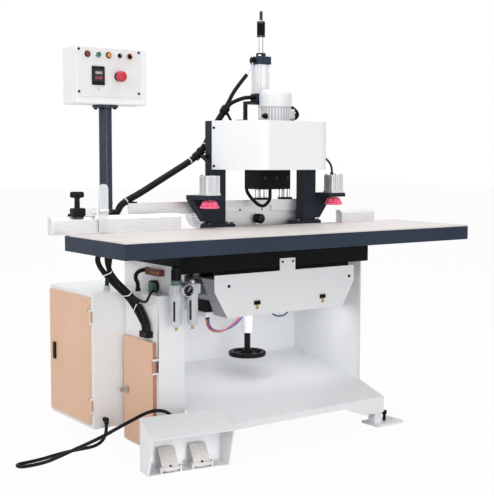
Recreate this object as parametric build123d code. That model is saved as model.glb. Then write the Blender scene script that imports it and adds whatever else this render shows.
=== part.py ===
"""Door lock mortiser: a floor-standing machine with a work table, a gantry with a vertical
drilling head and two clamps, a horizontal mortising spindle behind the table, an electric
cabinet, a control box on a post and a double foot pedal.

Millimetres, +Z up. While it is drawn, X runs along the table from its left end, Y runs back
from the table's front edge and Z is the height above the floor. The finished pieces are moved
so that the origin is on the floor, under the middle of the machine.
"""
from build123d import *
import math
import os

# Work table
table_length = 1630.0
table_depth = 443.0
table_height = 850.0
table_edge = 60.0
wear_plate = 6.0
wear_plate_count = 5
wear_plate_seam = 1.5
wear_plate_inset = 2.0

# Gantry centre plane, from the table's left end
centre_x = 908.0

# Sheet metal base
sheet = 6.0
base_left = 332.0
base_right = 1347.0
base_front = 345.0
base_behind = 356.0
post_width = 115.0
post_depth = 253.0
post_ledge_drop = 105.0
post_web = 47.0
post_floor_gap = 8.0
shelf_back_z = 239.0
shelf_front_z = 168.0
toe_y = 192.0
toe_z = 122.0
apron_z = 97.0
leg_z = 55.0
leg_run = 112.0
leg_toe = 102.0

# Feet
foot_thick = 10.0
foot_length = 150.0
foot_width = 100.0
leg_tube = 40.0
anchor_hole_d = 14.0
bolt_d = 16.0
bolt_head_d = 24.0
bolt_head_h = 16.0
bolt_height = 52.0
left_foot_x = 490.0

# Subframe between base and table
subframe_height = 75.0
beam = 40.0
front_beam_drop = 25.0
front_beam_y = 303.0

# Electric cabinet
cabinet_left = 191.0
cabinet_depth = 382.0
cabinet_bottom = 68.0
cabinet_height = 534.0
cabinet_wall = 4.0
door_border = 17.0
door_lap = 10.0
door_thick = 10.0
door_gap = 0.5
hinge_pin_d = 8.0
hinge_knuckle_d = 16.0
hinge_length = 60.0
hinge_inset = 45.0
hinge_proud = 9.0

# Side door in the left post
side_door_height = 411.0
side_door_bottom = 22.0
side_door_thick = 17.0
side_door_proud = 18.0
lock_cam_reach = 28.0
keeper_thick = 3.0
keeper_width = 18.0
keeper_half = 22.0

# Gantry
pillar_width = 68.0
pillar_depth = 48.0
pillar_offset = 233.0
pillar_set_back = 6.0
pillar_height = 421.0
flange_thick = 12.0
flange_outer = 22.0
flange_inner = 40.0
flange_front = 12.0
back_plate_thick = 16.0
back_plate_rise = 235.0
back_plate_height = 177.0
back_plate_lap = 19.0
guide_rail_offset = 108.0
guide_rail_width = 24.0
guide_rail_depth = 18.0

# Hood
hood_sheet = 3.0
hood_rise = 229.0
hood_depth = 202.0
hood_front_half = 156.0
hood_screw_d = 10.0
hood_screw_in = 10.0
hood_screw_low = 14.0
hood_screw_drop = 28.0

# Feed cylinder of the drilling head
cylinder_set_in = 11.0
cylinder_d = 62.0
cylinder_rise = 505.0
cylinder_cap = 62.0
cylinder_cap_h = 32.0
stand_width = 140.0
stand_leg = 12.0
stand_foot = 22.0
cylinder_length = 182.0
cylinder_boss_d = 40.0
cylinder_boss_h = 15.0
rod_d = 20.0
sleeve_d = 34.0
sleeve_length = 63.0
rod_tip_d = 14.0
rod_tip_length = 41.0
drill_stroke = 64.0

# Drilling head
carriage_width = 276.0
carriage_thick = 16.0
carriage_height = 120.0
carriage_rise = 308.0
motor_reach = 63.0
motor_d = 126.0
motor_fan_d = 130.0
motor_rise = 390.0
motor_body_length = 89.0
motor_fan_length = 70.0
motor_fins = 20
block_width = 150.0
block_reach = 69.0
block_depth = 114.0
block_rise = 149.0
block_height = 81.0
drill_offset = 60.0
drill_reach = 52.0
drill_shaft_d = 18.0
chuck_d = 24.0
disc_d = 60.0
disc_thick = 8.0
disc_rise = 108.0

# Clamps
clamp_offset = 316.0
clamp_reach = 59.0
clamp_stroke = 45.0
arm_half_span = 357.0
arm_reach = 89.0
arm_thick = 16.0
arm_rise = 129.0
gusset_rise = 22.0
gusset_width = 24.0
clamp_body = 64.0
clamp_body_depth = 54.0
clamp_body_h = 77.0
clamp_rod_d = 16.0
pad_d = 78.0
pad_height = 32.0
pad_gap = 2.0

# Fence
fence_thick = 6.0
fence_height = 48.0
fence_rise = 55.0
fence_left = 292.0
rail_left = -66.0
rail_right = 470.0
rail_height = 64.0
rail_depth = 40.0
rail_chamfer = 12.0
rail_cap = 8.0
right_rail_left = 1284.0
right_rail_right = 1474.0
right_rail_height = 53.0

# Flip stop on the left rail
stop_x = 40.0
stop_block_w = 50.0
stop_block_h = 30.0
stop_slide_gap = 0.4
knob_d = 46.0
knob_stem_d = 20.0
knob_rise = 89.0
knob_head_h = 21.0
flip_x = 132.0
flip_width = 36.0
flip_thick = 8.0
flip_rise = 180.0
flip_gap = 6.0
flip_pivot_rise = 18.0
flip_pin_d = 8.0

# Mortising unit
spindle_rise = 25.0
nose_d = 40.0
nose_reach = 21.0
spindle_d = 30.0
collet_bore_d = 12.0
collet_bore_depth = 30.0
housing_d = 90.0
housing_set_back = 94.0
housing_length = 168.0
cross_half = 100.0
mortise_motor_d = 138.0
mortise_motor_length = 190.0
mortise_plunge = 100.0
mortise_traverse = 45.0
mortise_lift = 30.0
shield_thick = 3.0
shield_drop = 60.0
shield_top_gap = 18.0
shield_end_gap = 25.0
shield_arm = 15.0
shield_arm_thick = 8.0
shield_arm_drop = 30.0
shield_foot = 40.0
lift_bed_drop = 215.0
lift_bed_thick = 20.0
lift_plate_rise = 100.0
lift_plate_thick = 20.0
lift_plate_width = 400.0
lift_set_back = 23.0
lift_depth = 260.0
column_d = 30.0
column_inset = 25.0
column_length = 148.0
slide_rail_h = 18.0
slide_rail_w = 20.0
slide_plate = 15.0
slide_gap = 0.4

# Valve block on a tab of the lift's bed
valve_x = 590.0
valve_reach = 112.0

# Handwheel and its screw
screw_set_back = 54.0
screw_d = 20.0
wheel_d = 160.0
wheel_z = 296.0
wheel_rim = 20.0
stem_d = 26.0
stem_rise = 89.0
bearing_d = 44.0

# Cover under the table
cover_y = 300.0
cover_sheet = 3.0
cover_drop = 130.0
cover_height = 152.0
cover_top_half = 353.0
cover_low_half = 292.0
cover_return = 95.0
tab_width = 77.0
tab_height = 66.0
cover_screw_steps = (-288.0, 328.0)
cover_screw_drop = 28.0
cover_screw_d = 12.0
tab_screw_step = 26.0
tab_screw_drop = 14.0
tab_screw_d = 9.0
cover_latch_steps = (-152.0, 184.0)
cover_latch_width = 30.0
cover_latch_height = 16.0
cover_latch_rise = 41.0
cover_ring_rise = 30.0
cover_ring_d = 11.0

# Control post and box
control_post_x = 202.0
control_post_set_back = 63.0
control_post_d = 48.0
control_post_wall = 3.0
control_box_width = 288.0
control_box_height = 207.0
control_box_depth = 114.0
control_box_rise = 469.0
control_flange_d = 96.0
control_flange_h = 10.0
control_wall = 3.0
panel_width = 262.0
panel_height = 178.0
panel_thick = 3.0
panel_screw_d = 9.0
panel_screw_h = 3.0
button_d = 18.0
button_pitch = 43.0
estop_d = 40.0

# Air service unit
air_x = 366.0
air_pitch = 71.0
air_y = 275.0
air_body = 46.0
air_rise = 12.0
air_body_height = 38.0
bowl_d = 44.0
bowl_length = 122.0
regulator_d = 40.0
regulator_height = 66.0
gauge_d = 44.0
air_port_d = 13.0
air_port_depth = 12.0

# Foot pedal
pedal_left_x = 164.0
pedal_left_y = 112.0
pedal_turn = -8.8
pedal_width = 322.0
pedal_depth = 120.0
pedal_front_h = 142.0
pedal_back_h = 195.0
pedal_toe = 40.0
pedal_sheet = 4.0
pedal_plate_w = 66.0
pedal_plate_l = 80.0
pedal_plate_nose = 11.0
pedal_plate_t = 12.0
pedal_pin_d = 8.0

# Cords and hoses
pedal_cable_d = 13.0
hose_d = 26.0
thin_hose_d = 16.0
lower_hose_d = 20.0
air_tube_d = 8.0
head_hose_d = 14.0

# Clearances
run = 0.05
seat = 0.3

# Worked-out places
table_low = table_height - table_edge
base_top = table_low - subframe_height
base_back = table_depth + base_behind
post_ledge_z = base_top - post_ledge_drop
plate_low = table_height - wear_plate
pillar_front = table_depth + pillar_set_back
pillar_back = pillar_front + pillar_depth
pillar_top = table_height + pillar_height
back_plate_low = table_height + back_plate_rise
back_plate_high = back_plate_low + back_plate_height
hood_low = table_height + hood_rise
hood_front_y = pillar_front - hood_depth
cylinder_y = pillar_back - cylinder_set_in
cylinder_low = table_height + cylinder_rise
cylinder_high = cylinder_low + cylinder_length
carriage_low = table_height + carriage_rise
motor_y = pillar_front - motor_reach
motor_foot_z = table_height + motor_rise
motor_fan_low = motor_foot_z + motor_body_length
motor_top = motor_fan_low + motor_fan_length
block_front = pillar_front - block_reach
block_low = table_height + block_rise
block_high = block_low + block_height
drill_y = pillar_front - drill_reach
disc_low = table_height + disc_rise
clamp_y = pillar_front - clamp_reach
arm_front = pillar_front - arm_reach
arm_top = table_height + arm_rise
gusset_low = table_height + gusset_rise
fence_low = table_height + fence_rise
fence_top = fence_low + fence_height
rail_top = table_height + rail_height
right_rail_top = table_height + right_rail_height
knob_top = rail_top + knob_rise
flip_top = table_height + flip_rise
flip_low = table_height + flip_gap
flip_pivot_z = rail_top + flip_pivot_rise
spindle_z = table_height + spindle_rise
lift_front = pillar_back + lift_set_back
lift_bed_z = base_top - lift_bed_drop
lift_plate_z = lift_bed_z + lift_plate_rise
column_top = lift_bed_z + lift_bed_thick + column_length
housing_front = lift_front + housing_set_back
nose_front = pillar_back - nose_reach
valve_y = lift_front - valve_reach
screw_y = lift_front + screw_set_back
stem_top = wheel_z + stem_rise
cover_top = table_low - cover_drop
cover_low = cover_top - cover_height
tab_top = cover_top + tab_height
control_post_low = table_low
control_post_y = table_depth + control_post_set_back
control_box_low = table_height + control_box_rise
air_body_low = post_ledge_z + air_rise
air_body_high = air_body_low + air_body_height
bowl_low = air_body_low - bowl_length
regulator_top = air_body_high + regulator_height
fence_y = pillar_back
shield_y = fence_y + fence_thick + 2.0
post_back = base_front + post_depth
post_right = base_left + post_width
wall_x = post_right - sheet
inner_right = base_right - sheet
inner_back = base_back - sheet
cabinet_front = post_back + 2.0
rod_room = cylinder_y + rod_d / 2 + 0.5
cabinet_back = cabinet_front + cabinet_depth
cabinet_right = wall_x
cabinet_top = cabinet_bottom + cabinet_height
rail_low = table_height
rail_back = table_depth
rail_y = rail_back - rail_depth
spindle_back = housing_front + housing_length
origin_x = (rail_left + table_length) / 2
origin_y = cabinet_back / 2


# Small builders
def block(x0, x1, y0, y1, z0, z1):
    """A box between two corners."""
    return Pos((x0 + x1) / 2, (y0 + y1) / 2, (z0 + z1) / 2) * Box(x1 - x0, y1 - y0, z1 - z0)


def round_z(x, y, z0, z1, d):
    """An upright round bar."""
    return Pos(x, y, (z0 + z1) / 2) * Cylinder(d / 2, z1 - z0)


def round_y(x, z, y0, y1, d):
    """A round bar that runs front to back."""
    return Pos(x, (y0 + y1) / 2, z) * Rot(90, 0, 0) * Cylinder(d / 2, y1 - y0)


def round_x(y, z, x0, x1, d):
    """A round bar that runs along the table."""
    return Pos((x0 + x1) / 2, y, z) * Rot(0, 90, 0) * Cylinder(d / 2, x1 - x0)


def prism_x(points, x0, x1):
    """An outline in (Y, Z) drawn out along X."""
    wire = Polyline(*[(x0, y, z) for y, z in points], close=True)
    return extrude(Face(Wire(wire.edges())), amount=x1 - x0, dir=(1, 0, 0))


def prism_y(points, y0, y1):
    """An outline in (X, Z) drawn out along Y."""
    wire = Polyline(*[(x, y0, z) for x, z in points], close=True)
    return extrude(Face(Wire(wire.edges())), amount=y1 - y0, dir=(0, 1, 0))


def prism_z(points, z0, z1):
    """An outline in (X, Y) drawn out along Z."""
    wire = Polyline(*[(x, y, z0) for x, y in points], close=True)
    return extrude(Face(Wire(wire.edges())), amount=z1 - z0, dir=(0, 0, 1))


def mirrored(shape):
    """The same piece on the other side of the gantry's centre plane."""
    return mirror(shape, about=Plane(origin=(centre_x, 0, 0), x_dir=(0, 1, 0), z_dir=(1, 0, 0)))


def cord(name, points, d):
    """A round cord along straight runs joined by arcs as large as the runs allow."""
    corners = [Vector(*p) for p in points]
    radii = []
    for before, here, after in zip(corners, corners[1:], corners[2:]):
        arrive, leave = here - before, after - here
        turn = math.radians(arrive.get_angle(leave))
        radii.append(0.45 * min(arrive.length, leave.length) / math.tan(turn / 2))
    path = FilletPolyline(*points, radius=radii)
    start = path @ 0
    section = Plane(origin=start, z_dir=path % 0) * Circle(d / 2)
    tube = sweep(section, path=path)
    runs = [(b - a).length for a, b in zip(corners, corners[1:])]
    print(f"{name}: d {d:.0f}, length {path.length:.0f}, volume ratio",
          f"{tube.volume / (path.length * math.pi * d * d / 4):.4f}, radii {[round(r) for r in radii]},",
          f"runs {[round(r) for r in runs]}")
    return tube


parts = {}


def keep(name, *solids):
    """Put one piece, or a group of separate pieces, into its node."""
    group = []
    for solid in solids:
        group.extend(solid.solids())
    parts[name] = group


# Work table and its subframe
def make_table():
    keep("work_table", block(0, table_length, 0, table_depth, table_low, plate_low))
    pitch = (table_length - 2 * wear_plate_inset + wear_plate_seam) / wear_plate_count
    plates = []
    for i in range(wear_plate_count):
        x = wear_plate_inset + i * pitch
        plates.append(block(x, x + pitch - wear_plate_seam, wear_plate_inset,
                            table_depth - wear_plate_inset, plate_low, table_height))
    keep("table_plates", *plates)
    web_x = post_right - post_web
    front = block(web_x, base_right, front_beam_y, front_beam_y + beam,
                  base_top - front_beam_drop, table_low)
    rear = block(post_right, base_right - beam, pillar_front - flange_front,
                 pillar_back + 1, base_top, table_low)
    left = block(web_x, post_right, front_beam_y + beam, base_back, base_top, table_low)
    right = block(base_right - beam, base_right, front_beam_y + beam, base_back, base_top, table_low)
    keep("subframe_beams", front, rear, left, right)


# Sheet metal base
def make_base(hinges):
    ledge = block(base_left, post_right, base_front, post_back, post_floor_gap, post_ledge_z)
    web = block(post_right - post_web, post_right, base_front, post_back, post_ledge_z, base_top)
    room = block(base_left + sheet, wall_x, base_front + sheet, post_back - sheet,
                 post_floor_gap + sheet, post_ledge_z - sheet)
    web_room = block(post_right - post_web + sheet, wall_x, base_front + sheet, post_back - sheet,
                     post_ledge_z - 2 * sheet, base_top - sheet)
    doorway = block(base_left - 1, base_left + sheet + 1, base_front + 3 * sheet, post_back - 2 * sheet,
                    side_door_bottom + sheet, side_door_bottom + side_door_height - sheet)
    post = ledge + web - room - web_room - doorway
    for hinge in hinges:
        post += hinge
    keep("base_left_post", post)

    alcove_left = block(wall_x, post_right, post_back, base_back, leg_z, base_top)
    side = [(toe_y, leg_z), (toe_y, toe_z), (base_front, shelf_front_z), (base_front, base_top),
            (base_back, base_top), (base_back, leg_z)]
    right = prism_x(side, inner_right, base_right)
    back = block(post_right, inner_right, inner_back, base_back, leg_z, base_top)
    shelf = [(inner_back, shelf_back_z), (base_front, shelf_front_z), (toe_y, toe_z),
             (toe_y, apron_z), (toe_y + sheet, apron_z), (toe_y + sheet, toe_z - sheet),
             (base_front, shelf_front_z - sheet), (inner_back, shelf_back_z - sheet)]
    shelf = prism_x(shelf, post_right, inner_right)
    leg_right = [(inner_right, apron_z), (inner_right, leg_z), (inner_right - leg_toe, leg_z),
                 (inner_right - leg_toe - leg_run, apron_z)]
    shelf += prism_y(leg_right, toe_y, toe_y + sheet)
    keeper = block(base_left + sheet, base_left + sheet + keeper_thick, post_back - sheet - keeper_width,
                   post_back - sheet, lock_z - keeper_half, lock_z + keeper_half)
    keep("base_panels", alcove_left, right, back, shelf, keeper)


# Two feet on the right and one at the left rear: the left post stands on its own pad
foot_right_x = inner_right - leg_tube / 2
foot_front_y = toe_y + sheet + leg_tube / 2
foot_rear_y = inner_back - leg_tube / 2
bolt_step = 54.0
anchor_step = 94.0
foot_heel = 31.0


def make_feet():
    feet = []
    bolts = []
    for x, y in ((foot_right_x, foot_front_y), (foot_right_x, foot_rear_y), (left_foot_x, foot_rear_y)):
        plate = block(x - foot_heel, x - foot_heel + foot_length, y - foot_width / 2, y + foot_width / 2,
                      0, foot_thick)
        tube = block(x - leg_tube / 2, x + leg_tube / 2, y - leg_tube / 2, y + leg_tube / 2,
                     foot_thick, apron_z - sheet)
        hole = round_z(x + anchor_step, y, -1, foot_thick + 1, anchor_hole_d)
        bolt_hole = round_z(x + bolt_step, y, -1, foot_thick + 1, bolt_d)
        feet.append(plate + tube - hole - bolt_hole)
        shank = round_z(x + bolt_step, y, 1, bolt_height, bolt_d)
        head = round_z(x + bolt_step, y, foot_thick, foot_thick + bolt_head_h, bolt_head_d)
        bolts.append(shank + head)
    pad = block(base_left + 2 * sheet, post_right - 2 * sheet, base_front + 2 * sheet,
                post_back - 2 * sheet, 0, post_floor_gap)
    keep("foot_plates", *feet, pad)
    return bolts


# Electric cabinet with its door, latch and switch gear
door_y0 = cabinet_front + door_border
door_y1 = cabinet_back - door_border
door_z0 = cabinet_bottom + door_border
door_z1 = cabinet_top - door_border
door_x1 = cabinet_left - door_gap
door_x0 = door_x1 - door_thick
hinge_x = cabinet_left - hinge_proud
hinge_y = cabinet_front + door_border - hinge_knuckle_d / 2 + 1.0
hinge_zs = (door_z0 + hinge_inset, door_z1 - hinge_inset - hinge_length)
latch_y = door_y1 - 48.0
latch_z = (door_z0 + door_z1) / 2
latch_shaft_d = 14.0


def make_cabinet():
    shell = block(cabinet_left, cabinet_right, cabinet_front, cabinet_back, cabinet_bottom, cabinet_top)
    shell -= block(cabinet_left + cabinet_wall, cabinet_right - cabinet_wall, cabinet_front + cabinet_wall,
                   cabinet_back - cabinet_wall, cabinet_bottom + cabinet_wall, cabinet_top - cabinet_wall)
    shell -= block(cabinet_left - 1, cabinet_left + cabinet_wall + 1, door_y0 + door_lap, door_y1 - door_lap,
                   door_z0 + door_lap, door_z1 - door_lap)
    door = block(door_x0, door_x1, door_y0, door_y1, door_z0, door_z1)
    pins = []
    ear = hinge_knuckle_d / 2
    for z in hinge_zs:
        for end in (z, z + hinge_length - ear):
            shell += block(hinge_x - ear / 2, cabinet_left, hinge_y - ear / 2, hinge_y + ear / 2, end,
                           end + ear)
        pins.append(round_z(hinge_x, hinge_y, z, z + hinge_length, hinge_pin_d))
        low, high = z + ear + seat, z + hinge_length - ear - seat
        gap = block(hinge_x - ear, cabinet_left, door_y0 - 1, hinge_y + 2 * ear, z - seat,
                    z + hinge_length + seat)
        door -= gap
        knuckle = round_z(hinge_x, hinge_y, low, high, hinge_knuckle_d)
        knuckle += block(door_x0, door_x1 - 1, hinge_y, hinge_y + 2 * ear + 1, low, high)
        door += knuckle - round_z(hinge_x, hinge_y, low - 1, high + 1, hinge_pin_d + 2 * run)
    for pin in pins:
        shell += pin
    door -= round_x(latch_y, latch_z, door_x0 - 1, door_x1 + 1, latch_shaft_d + 2 * run)
    keep("cabinet_shell", shell)
    keep("cabinet_door", door)

    grip = block(door_x0 - 8, door_x0 - seat, latch_y - 9, latch_y + 9, latch_z - 34, latch_z + 34)
    shaft = round_x(latch_y, latch_z, door_x0 - 6, cabinet_left + cabinet_wall + 6, latch_shaft_d)
    reach = door_y1 - latch_y + 4
    tongue = block(cabinet_left + cabinet_wall + 2, cabinet_left + cabinet_wall + 6, latch_y - 8, latch_y + 8,
                   latch_z - reach, latch_z + 8)
    keep("cabinet_latch", grip + shaft + tongue)

    mount_x = cabinet_right - cabinet_wall - 4
    gear = [block(mount_x, mount_x + 4, cabinet_front + 30, cabinet_back - 30, cabinet_bottom + 30,
                  cabinet_top - 30)]
    for row, height in enumerate((72, 86, 60)):
        for column in range(4):
            y = cabinet_front + 62 + column * 68
            z = cabinet_bottom + 70 + row * 140
            gear.append(block(mount_x - 66, mount_x, y, y + 54, z, z + height))
    web_x = post_right - post_web
    gear.append(block(web_x - 24, web_x, base_front + 67, base_front + 171, post_ledge_z + 64,
                      post_ledge_z + 88))
    gear.append(block(web_x - 30, web_x, base_front + 120, base_front + 164, post_ledge_z, post_ledge_z + 43))
    gear.append(block(valve_x, valve_x + 90, valve_y, valve_y + 66, lift_bed_z + lift_bed_thick,
                      lift_bed_z + lift_bed_thick + 62))
    keep("control_gear", *gear)


# Side door with its key lock
side_hinge_x = base_left - side_door_proud
side_hinge_y = base_front + 6.0
side_y1 = post_back - 14.0
side_x0 = base_left - seat - side_door_thick
side_x1 = base_left - seat
lock_y = side_y1 - 31.0
lock_z = side_door_bottom + 200.0
lock_d = 22.0
side_hinge_zs = (side_door_bottom + 60.0, side_door_bottom + side_door_height - 60.0 - hinge_length)


def make_side_door():
    ear = hinge_knuckle_d / 2
    door = block(side_x0, side_x1, side_hinge_y + ear + 2, side_y1, side_door_bottom,
                 side_door_bottom + side_door_height)
    hinges = []
    for z in side_hinge_zs:
        low, high = z + ear + seat, z + hinge_length - ear - seat
        for end in (z, z + hinge_length - ear):
            lug = block(side_hinge_x - ear / 2, base_left, side_hinge_y - ear / 2, side_hinge_y + ear / 2,
                        end, end + ear)
            hinges.append(lug)
        pin = round_z(side_hinge_x, side_hinge_y, z, z + hinge_length, hinge_pin_d)
        hinges.append(pin)
        knuckle = round_z(side_hinge_x, side_hinge_y, low, high, hinge_knuckle_d)
        knuckle += block(side_x0, side_x0 + 6, side_hinge_y, side_hinge_y + 2 * ear + 4, low, high)
        door += knuckle - round_z(side_hinge_x, side_hinge_y, low - 1, high + 1, hinge_pin_d + 2 * run)
    door -= round_x(lock_y, lock_z, side_x0 - 1, side_x1 + 1, lock_d + 2 * run)
    keep("side_door", door)
    barrel = round_x(lock_y, lock_z, side_x0 - 6, base_left + sheet + 8, lock_d)
    barrel += round_x(lock_y, lock_z, side_x0 - 9, side_x0 - seat, lock_d + 8)
    key = block(side_x0 - 20, side_x0 - 8, lock_y - 1.5, lock_y + 1.5, lock_z - 4, lock_z + 4)
    bow = round_y(side_x0 - 24, lock_z, lock_y - 1.5, lock_y + 1.5, 20)
    cam = block(base_left + sheet + 4, base_left + sheet + 8, lock_y - 9, lock_y + 9, lock_z - lock_cam_reach,
                lock_z)
    keep("side_door_lock", barrel + key + bow + cam)
    return hinges


# Gantry: beds, pillars, back plate and the head's guide rails
def make_gantry():
    pillar_x = centre_x - pillar_offset
    half = pillar_width / 2
    left, right = pillar_x - half - flange_outer, pillar_x + half + flange_inner
    bed = block(left, right, table_depth, pillar_back, table_low, table_height)
    pillar = block(pillar_x - half, pillar_x + half, pillar_front, pillar_back, table_height, pillar_top)
    pillar += block(left, right, pillar_front - flange_front, pillar_back, table_height,
                    table_height + flange_thick)
    plate_half = pillar_offset - half + back_plate_lap
    plate_back = pillar_back + back_plate_thick
    plate = block(centre_x - plate_half, centre_x + plate_half, pillar_back, plate_back,
                  back_plate_low, back_plate_high)
    seat_half = cylinder_cap / 2
    half_stand = stand_width / 2
    plate += block(centre_x - half_stand, centre_x + half_stand, cylinder_y - seat_half, plate_back,
                   cylinder_low - flange_thick, cylinder_low)
    for side in (-1, 1):
        leg_x = centre_x + side * (half_stand - stand_leg / 2)
        plate += block(leg_x - stand_leg / 2, leg_x + stand_leg / 2, pillar_back, plate_back,
                       back_plate_high, cylinder_low)
        plate += block(leg_x - stand_foot / 2, leg_x + stand_foot / 2, pillar_back, plate_back,
                       back_plate_high, back_plate_high + flange_thick)
    plate -= round_z(centre_x, cylinder_y, cylinder_low - 2 * flange_thick, cylinder_low + 1, rod_d + 6)
    keep("gantry_frame", bed, mirrored(bed), pillar, mirrored(pillar), plate)


# Hood in front of the pillars, open above and below
def make_hood():
    half = pillar_offset + pillar_width / 2
    outer = [(centre_x - half, pillar_front), (centre_x - hood_front_half, hood_front_y),
             (centre_x + hood_front_half, hood_front_y), (centre_x + half, pillar_front)]
    slant = math.hypot(half - hood_front_half, pillar_front - hood_front_y)
    skew = hood_sheet * slant / (pillar_front - hood_front_y)
    lead = hood_sheet * math.tan(0.5 * math.atan2(pillar_front - hood_front_y, half - hood_front_half))
    inner = [(centre_x + half - skew, pillar_front), (centre_x + hood_front_half - lead,
                                                      hood_front_y + hood_sheet),
             (centre_x - hood_front_half + lead, hood_front_y + hood_sheet),
             (centre_x - half + skew, pillar_front)]
    hood = prism_z(outer + inner, hood_low, pillar_top)
    keep("hood", hood)


# Feed cylinder above the head
def make_feed_cylinder():
    cap = cylinder_cap / 2
    bore = round_z(centre_x, cylinder_y, cylinder_low - 1, cylinder_high + cylinder_boss_h + 1,
                   rod_d + 2 * run)
    tube = round_z(centre_x, cylinder_y, cylinder_low + cylinder_cap_h, cylinder_high - cylinder_cap_h,
                   cylinder_d)
    low = block(centre_x - cap, centre_x + cap, cylinder_y - cap, cylinder_y + cap,
                cylinder_low, cylinder_low + cylinder_cap_h)
    high = block(centre_x - cap, centre_x + cap, cylinder_y - cap, cylinder_y + cap,
                 cylinder_high - cylinder_cap_h, cylinder_high)
    high += round_z(centre_x, cylinder_y, cylinder_high, cylinder_high + cylinder_boss_h, cylinder_boss_d)
    keep("cylinder_caps", low - bore, high - bore)
    return tube - bore


# Drilling head that the feed cylinder moves up and down
carriage_back = pillar_back - guide_rail_depth - slide_gap
carriage_front = carriage_back - carriage_thick - 14.0
rod_low = carriage_low + 20.0
sleeve_low = cylinder_high + cylinder_boss_h + drill_stroke + seat


def make_drill_head():
    plate = block(centre_x - carriage_width / 2, centre_x + carriage_width / 2, carriage_front,
                  carriage_front + carriage_thick, carriage_low, carriage_low + carriage_height)
    truck = guide_rail_width / 2 + 10
    for side in (-1, 1):
        x = centre_x + side * guide_rail_offset
        shoe = block(x - truck, x + truck, carriage_front + carriage_thick, pillar_back - 4,
                     carriage_low + 20, carriage_low + carriage_height - 20)
        shoe -= block(x - guide_rail_width / 2 - slide_gap, x + guide_rail_width / 2 + slide_gap,
                      carriage_back,
                      pillar_back, carriage_low, carriage_low + carriage_height)
        plate += shoe
    lug = block(centre_x - 24, centre_x + 24, carriage_front + carriage_thick, rod_room,
                carriage_low, carriage_low + 40)
    lug -= round_z(centre_x, cylinder_y, rod_low, carriage_low + 41, rod_d)
    shelf_half = motor_d / 2 + 20
    shelf = block(centre_x - shelf_half, centre_x + shelf_half, motor_y - motor_d / 2 - 8, carriage_front,
                  motor_foot_z - carriage_thick, motor_foot_z)
    keep("drill_carriage", plate + lug + shelf)

    body = round_z(centre_x, motor_y, motor_foot_z, motor_fan_low, motor_d - 16)
    for i in range(motor_fins):
        turn = 360.0 * i / motor_fins
        fin = Pos(centre_x, motor_y, (motor_foot_z + 12 + motor_fan_low) / 2) * Rot(0, 0, turn)
        fin *= Pos(motor_d / 2 - 10, 0, 0) * Box(14, 3, motor_fan_low - motor_foot_z - 12)
        body += fin
    crown = round_z(centre_x, motor_y, motor_fan_low, motor_top, motor_fan_d)
    crown = fillet(crown.faces().sort_by(Axis.Z)[-1].edges(), 16)
    terminals = block(centre_x + motor_d / 2 - 10, centre_x + motor_d / 2 + 18, motor_y - 24, motor_y + 24,
                      motor_fan_low - 50, motor_fan_low - 6)
    keep("head_motor", body + terminals, crown)

    neck = block(centre_x - 50, centre_x + 50, motor_y - 40, carriage_front, block_high,
                 motor_foot_z - carriage_thick)
    gearbox = block(centre_x - block_width / 2, centre_x + block_width / 2, block_front,
                    block_front + block_depth,
                    block_low, block_high)
    gearbox += neck
    for side in (-1, 1):
        gearbox -= round_z(centre_x + side * drill_offset, drill_y, block_low - 1, block_low + 40,
                           drill_shaft_d + 2 * run)
    names = ("left", "right")
    feet = []
    for side, name in zip((-1, 1), names):
        x = centre_x + side * drill_offset
        spindle = round_z(x, drill_y, block_low - 4, block_low + 39, drill_shaft_d)
        spindle += round_z(x, drill_y, disc_low + disc_thick + 2, block_low - seat, chuck_d)
        spindle += round_z(x, drill_y, disc_low + 1, block_low - 10, 10)
        flat = block(x + chuck_d / 2 - 3, x + chuck_d / 2, drill_y - 20, drill_y + 20,
                     disc_low + disc_thick + 8, disc_low + disc_thick + 18)
        keep("drill_spindle_" + name, spindle - flat)
        disc = round_z(x, drill_y, disc_low, disc_low + disc_thick, disc_d)
        disc -= round_z(x, drill_y, disc_low - 1, disc_low + disc_thick + 1, 16)
        for reach in (-1, 1):
            disc += round_z(x + reach * 21, drill_y + 5, disc_low + disc_thick, block_low, 8)
        feet.append(disc)
    keep("drill_block", gearbox, *feet)

    rod = round_z(centre_x, cylinder_y, rod_low, sleeve_low, rod_d)
    sleeve = round_z(centre_x, cylinder_y, sleeve_low, sleeve_low + sleeve_length, sleeve_d)
    for i in range(10):
        groove = Pos(centre_x, cylinder_y, sleeve_low + sleeve_length / 2) * Rot(0, 0, 36 * i)
        groove *= Pos(sleeve_d / 2, 0, 0) * Cylinder(2.2, sleeve_length - 16)
        sleeve -= groove
    top = sleeve_low + sleeve_length
    tip = round_z(centre_x, cylinder_y, top, top + rod_tip_length - 8, rod_tip_d)
    tip += round_z(centre_x, cylinder_y, top + rod_tip_length - 8, top + rod_tip_length, rod_tip_d - 4)
    keep("piston_rod", rod, sleeve, tip)


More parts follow.
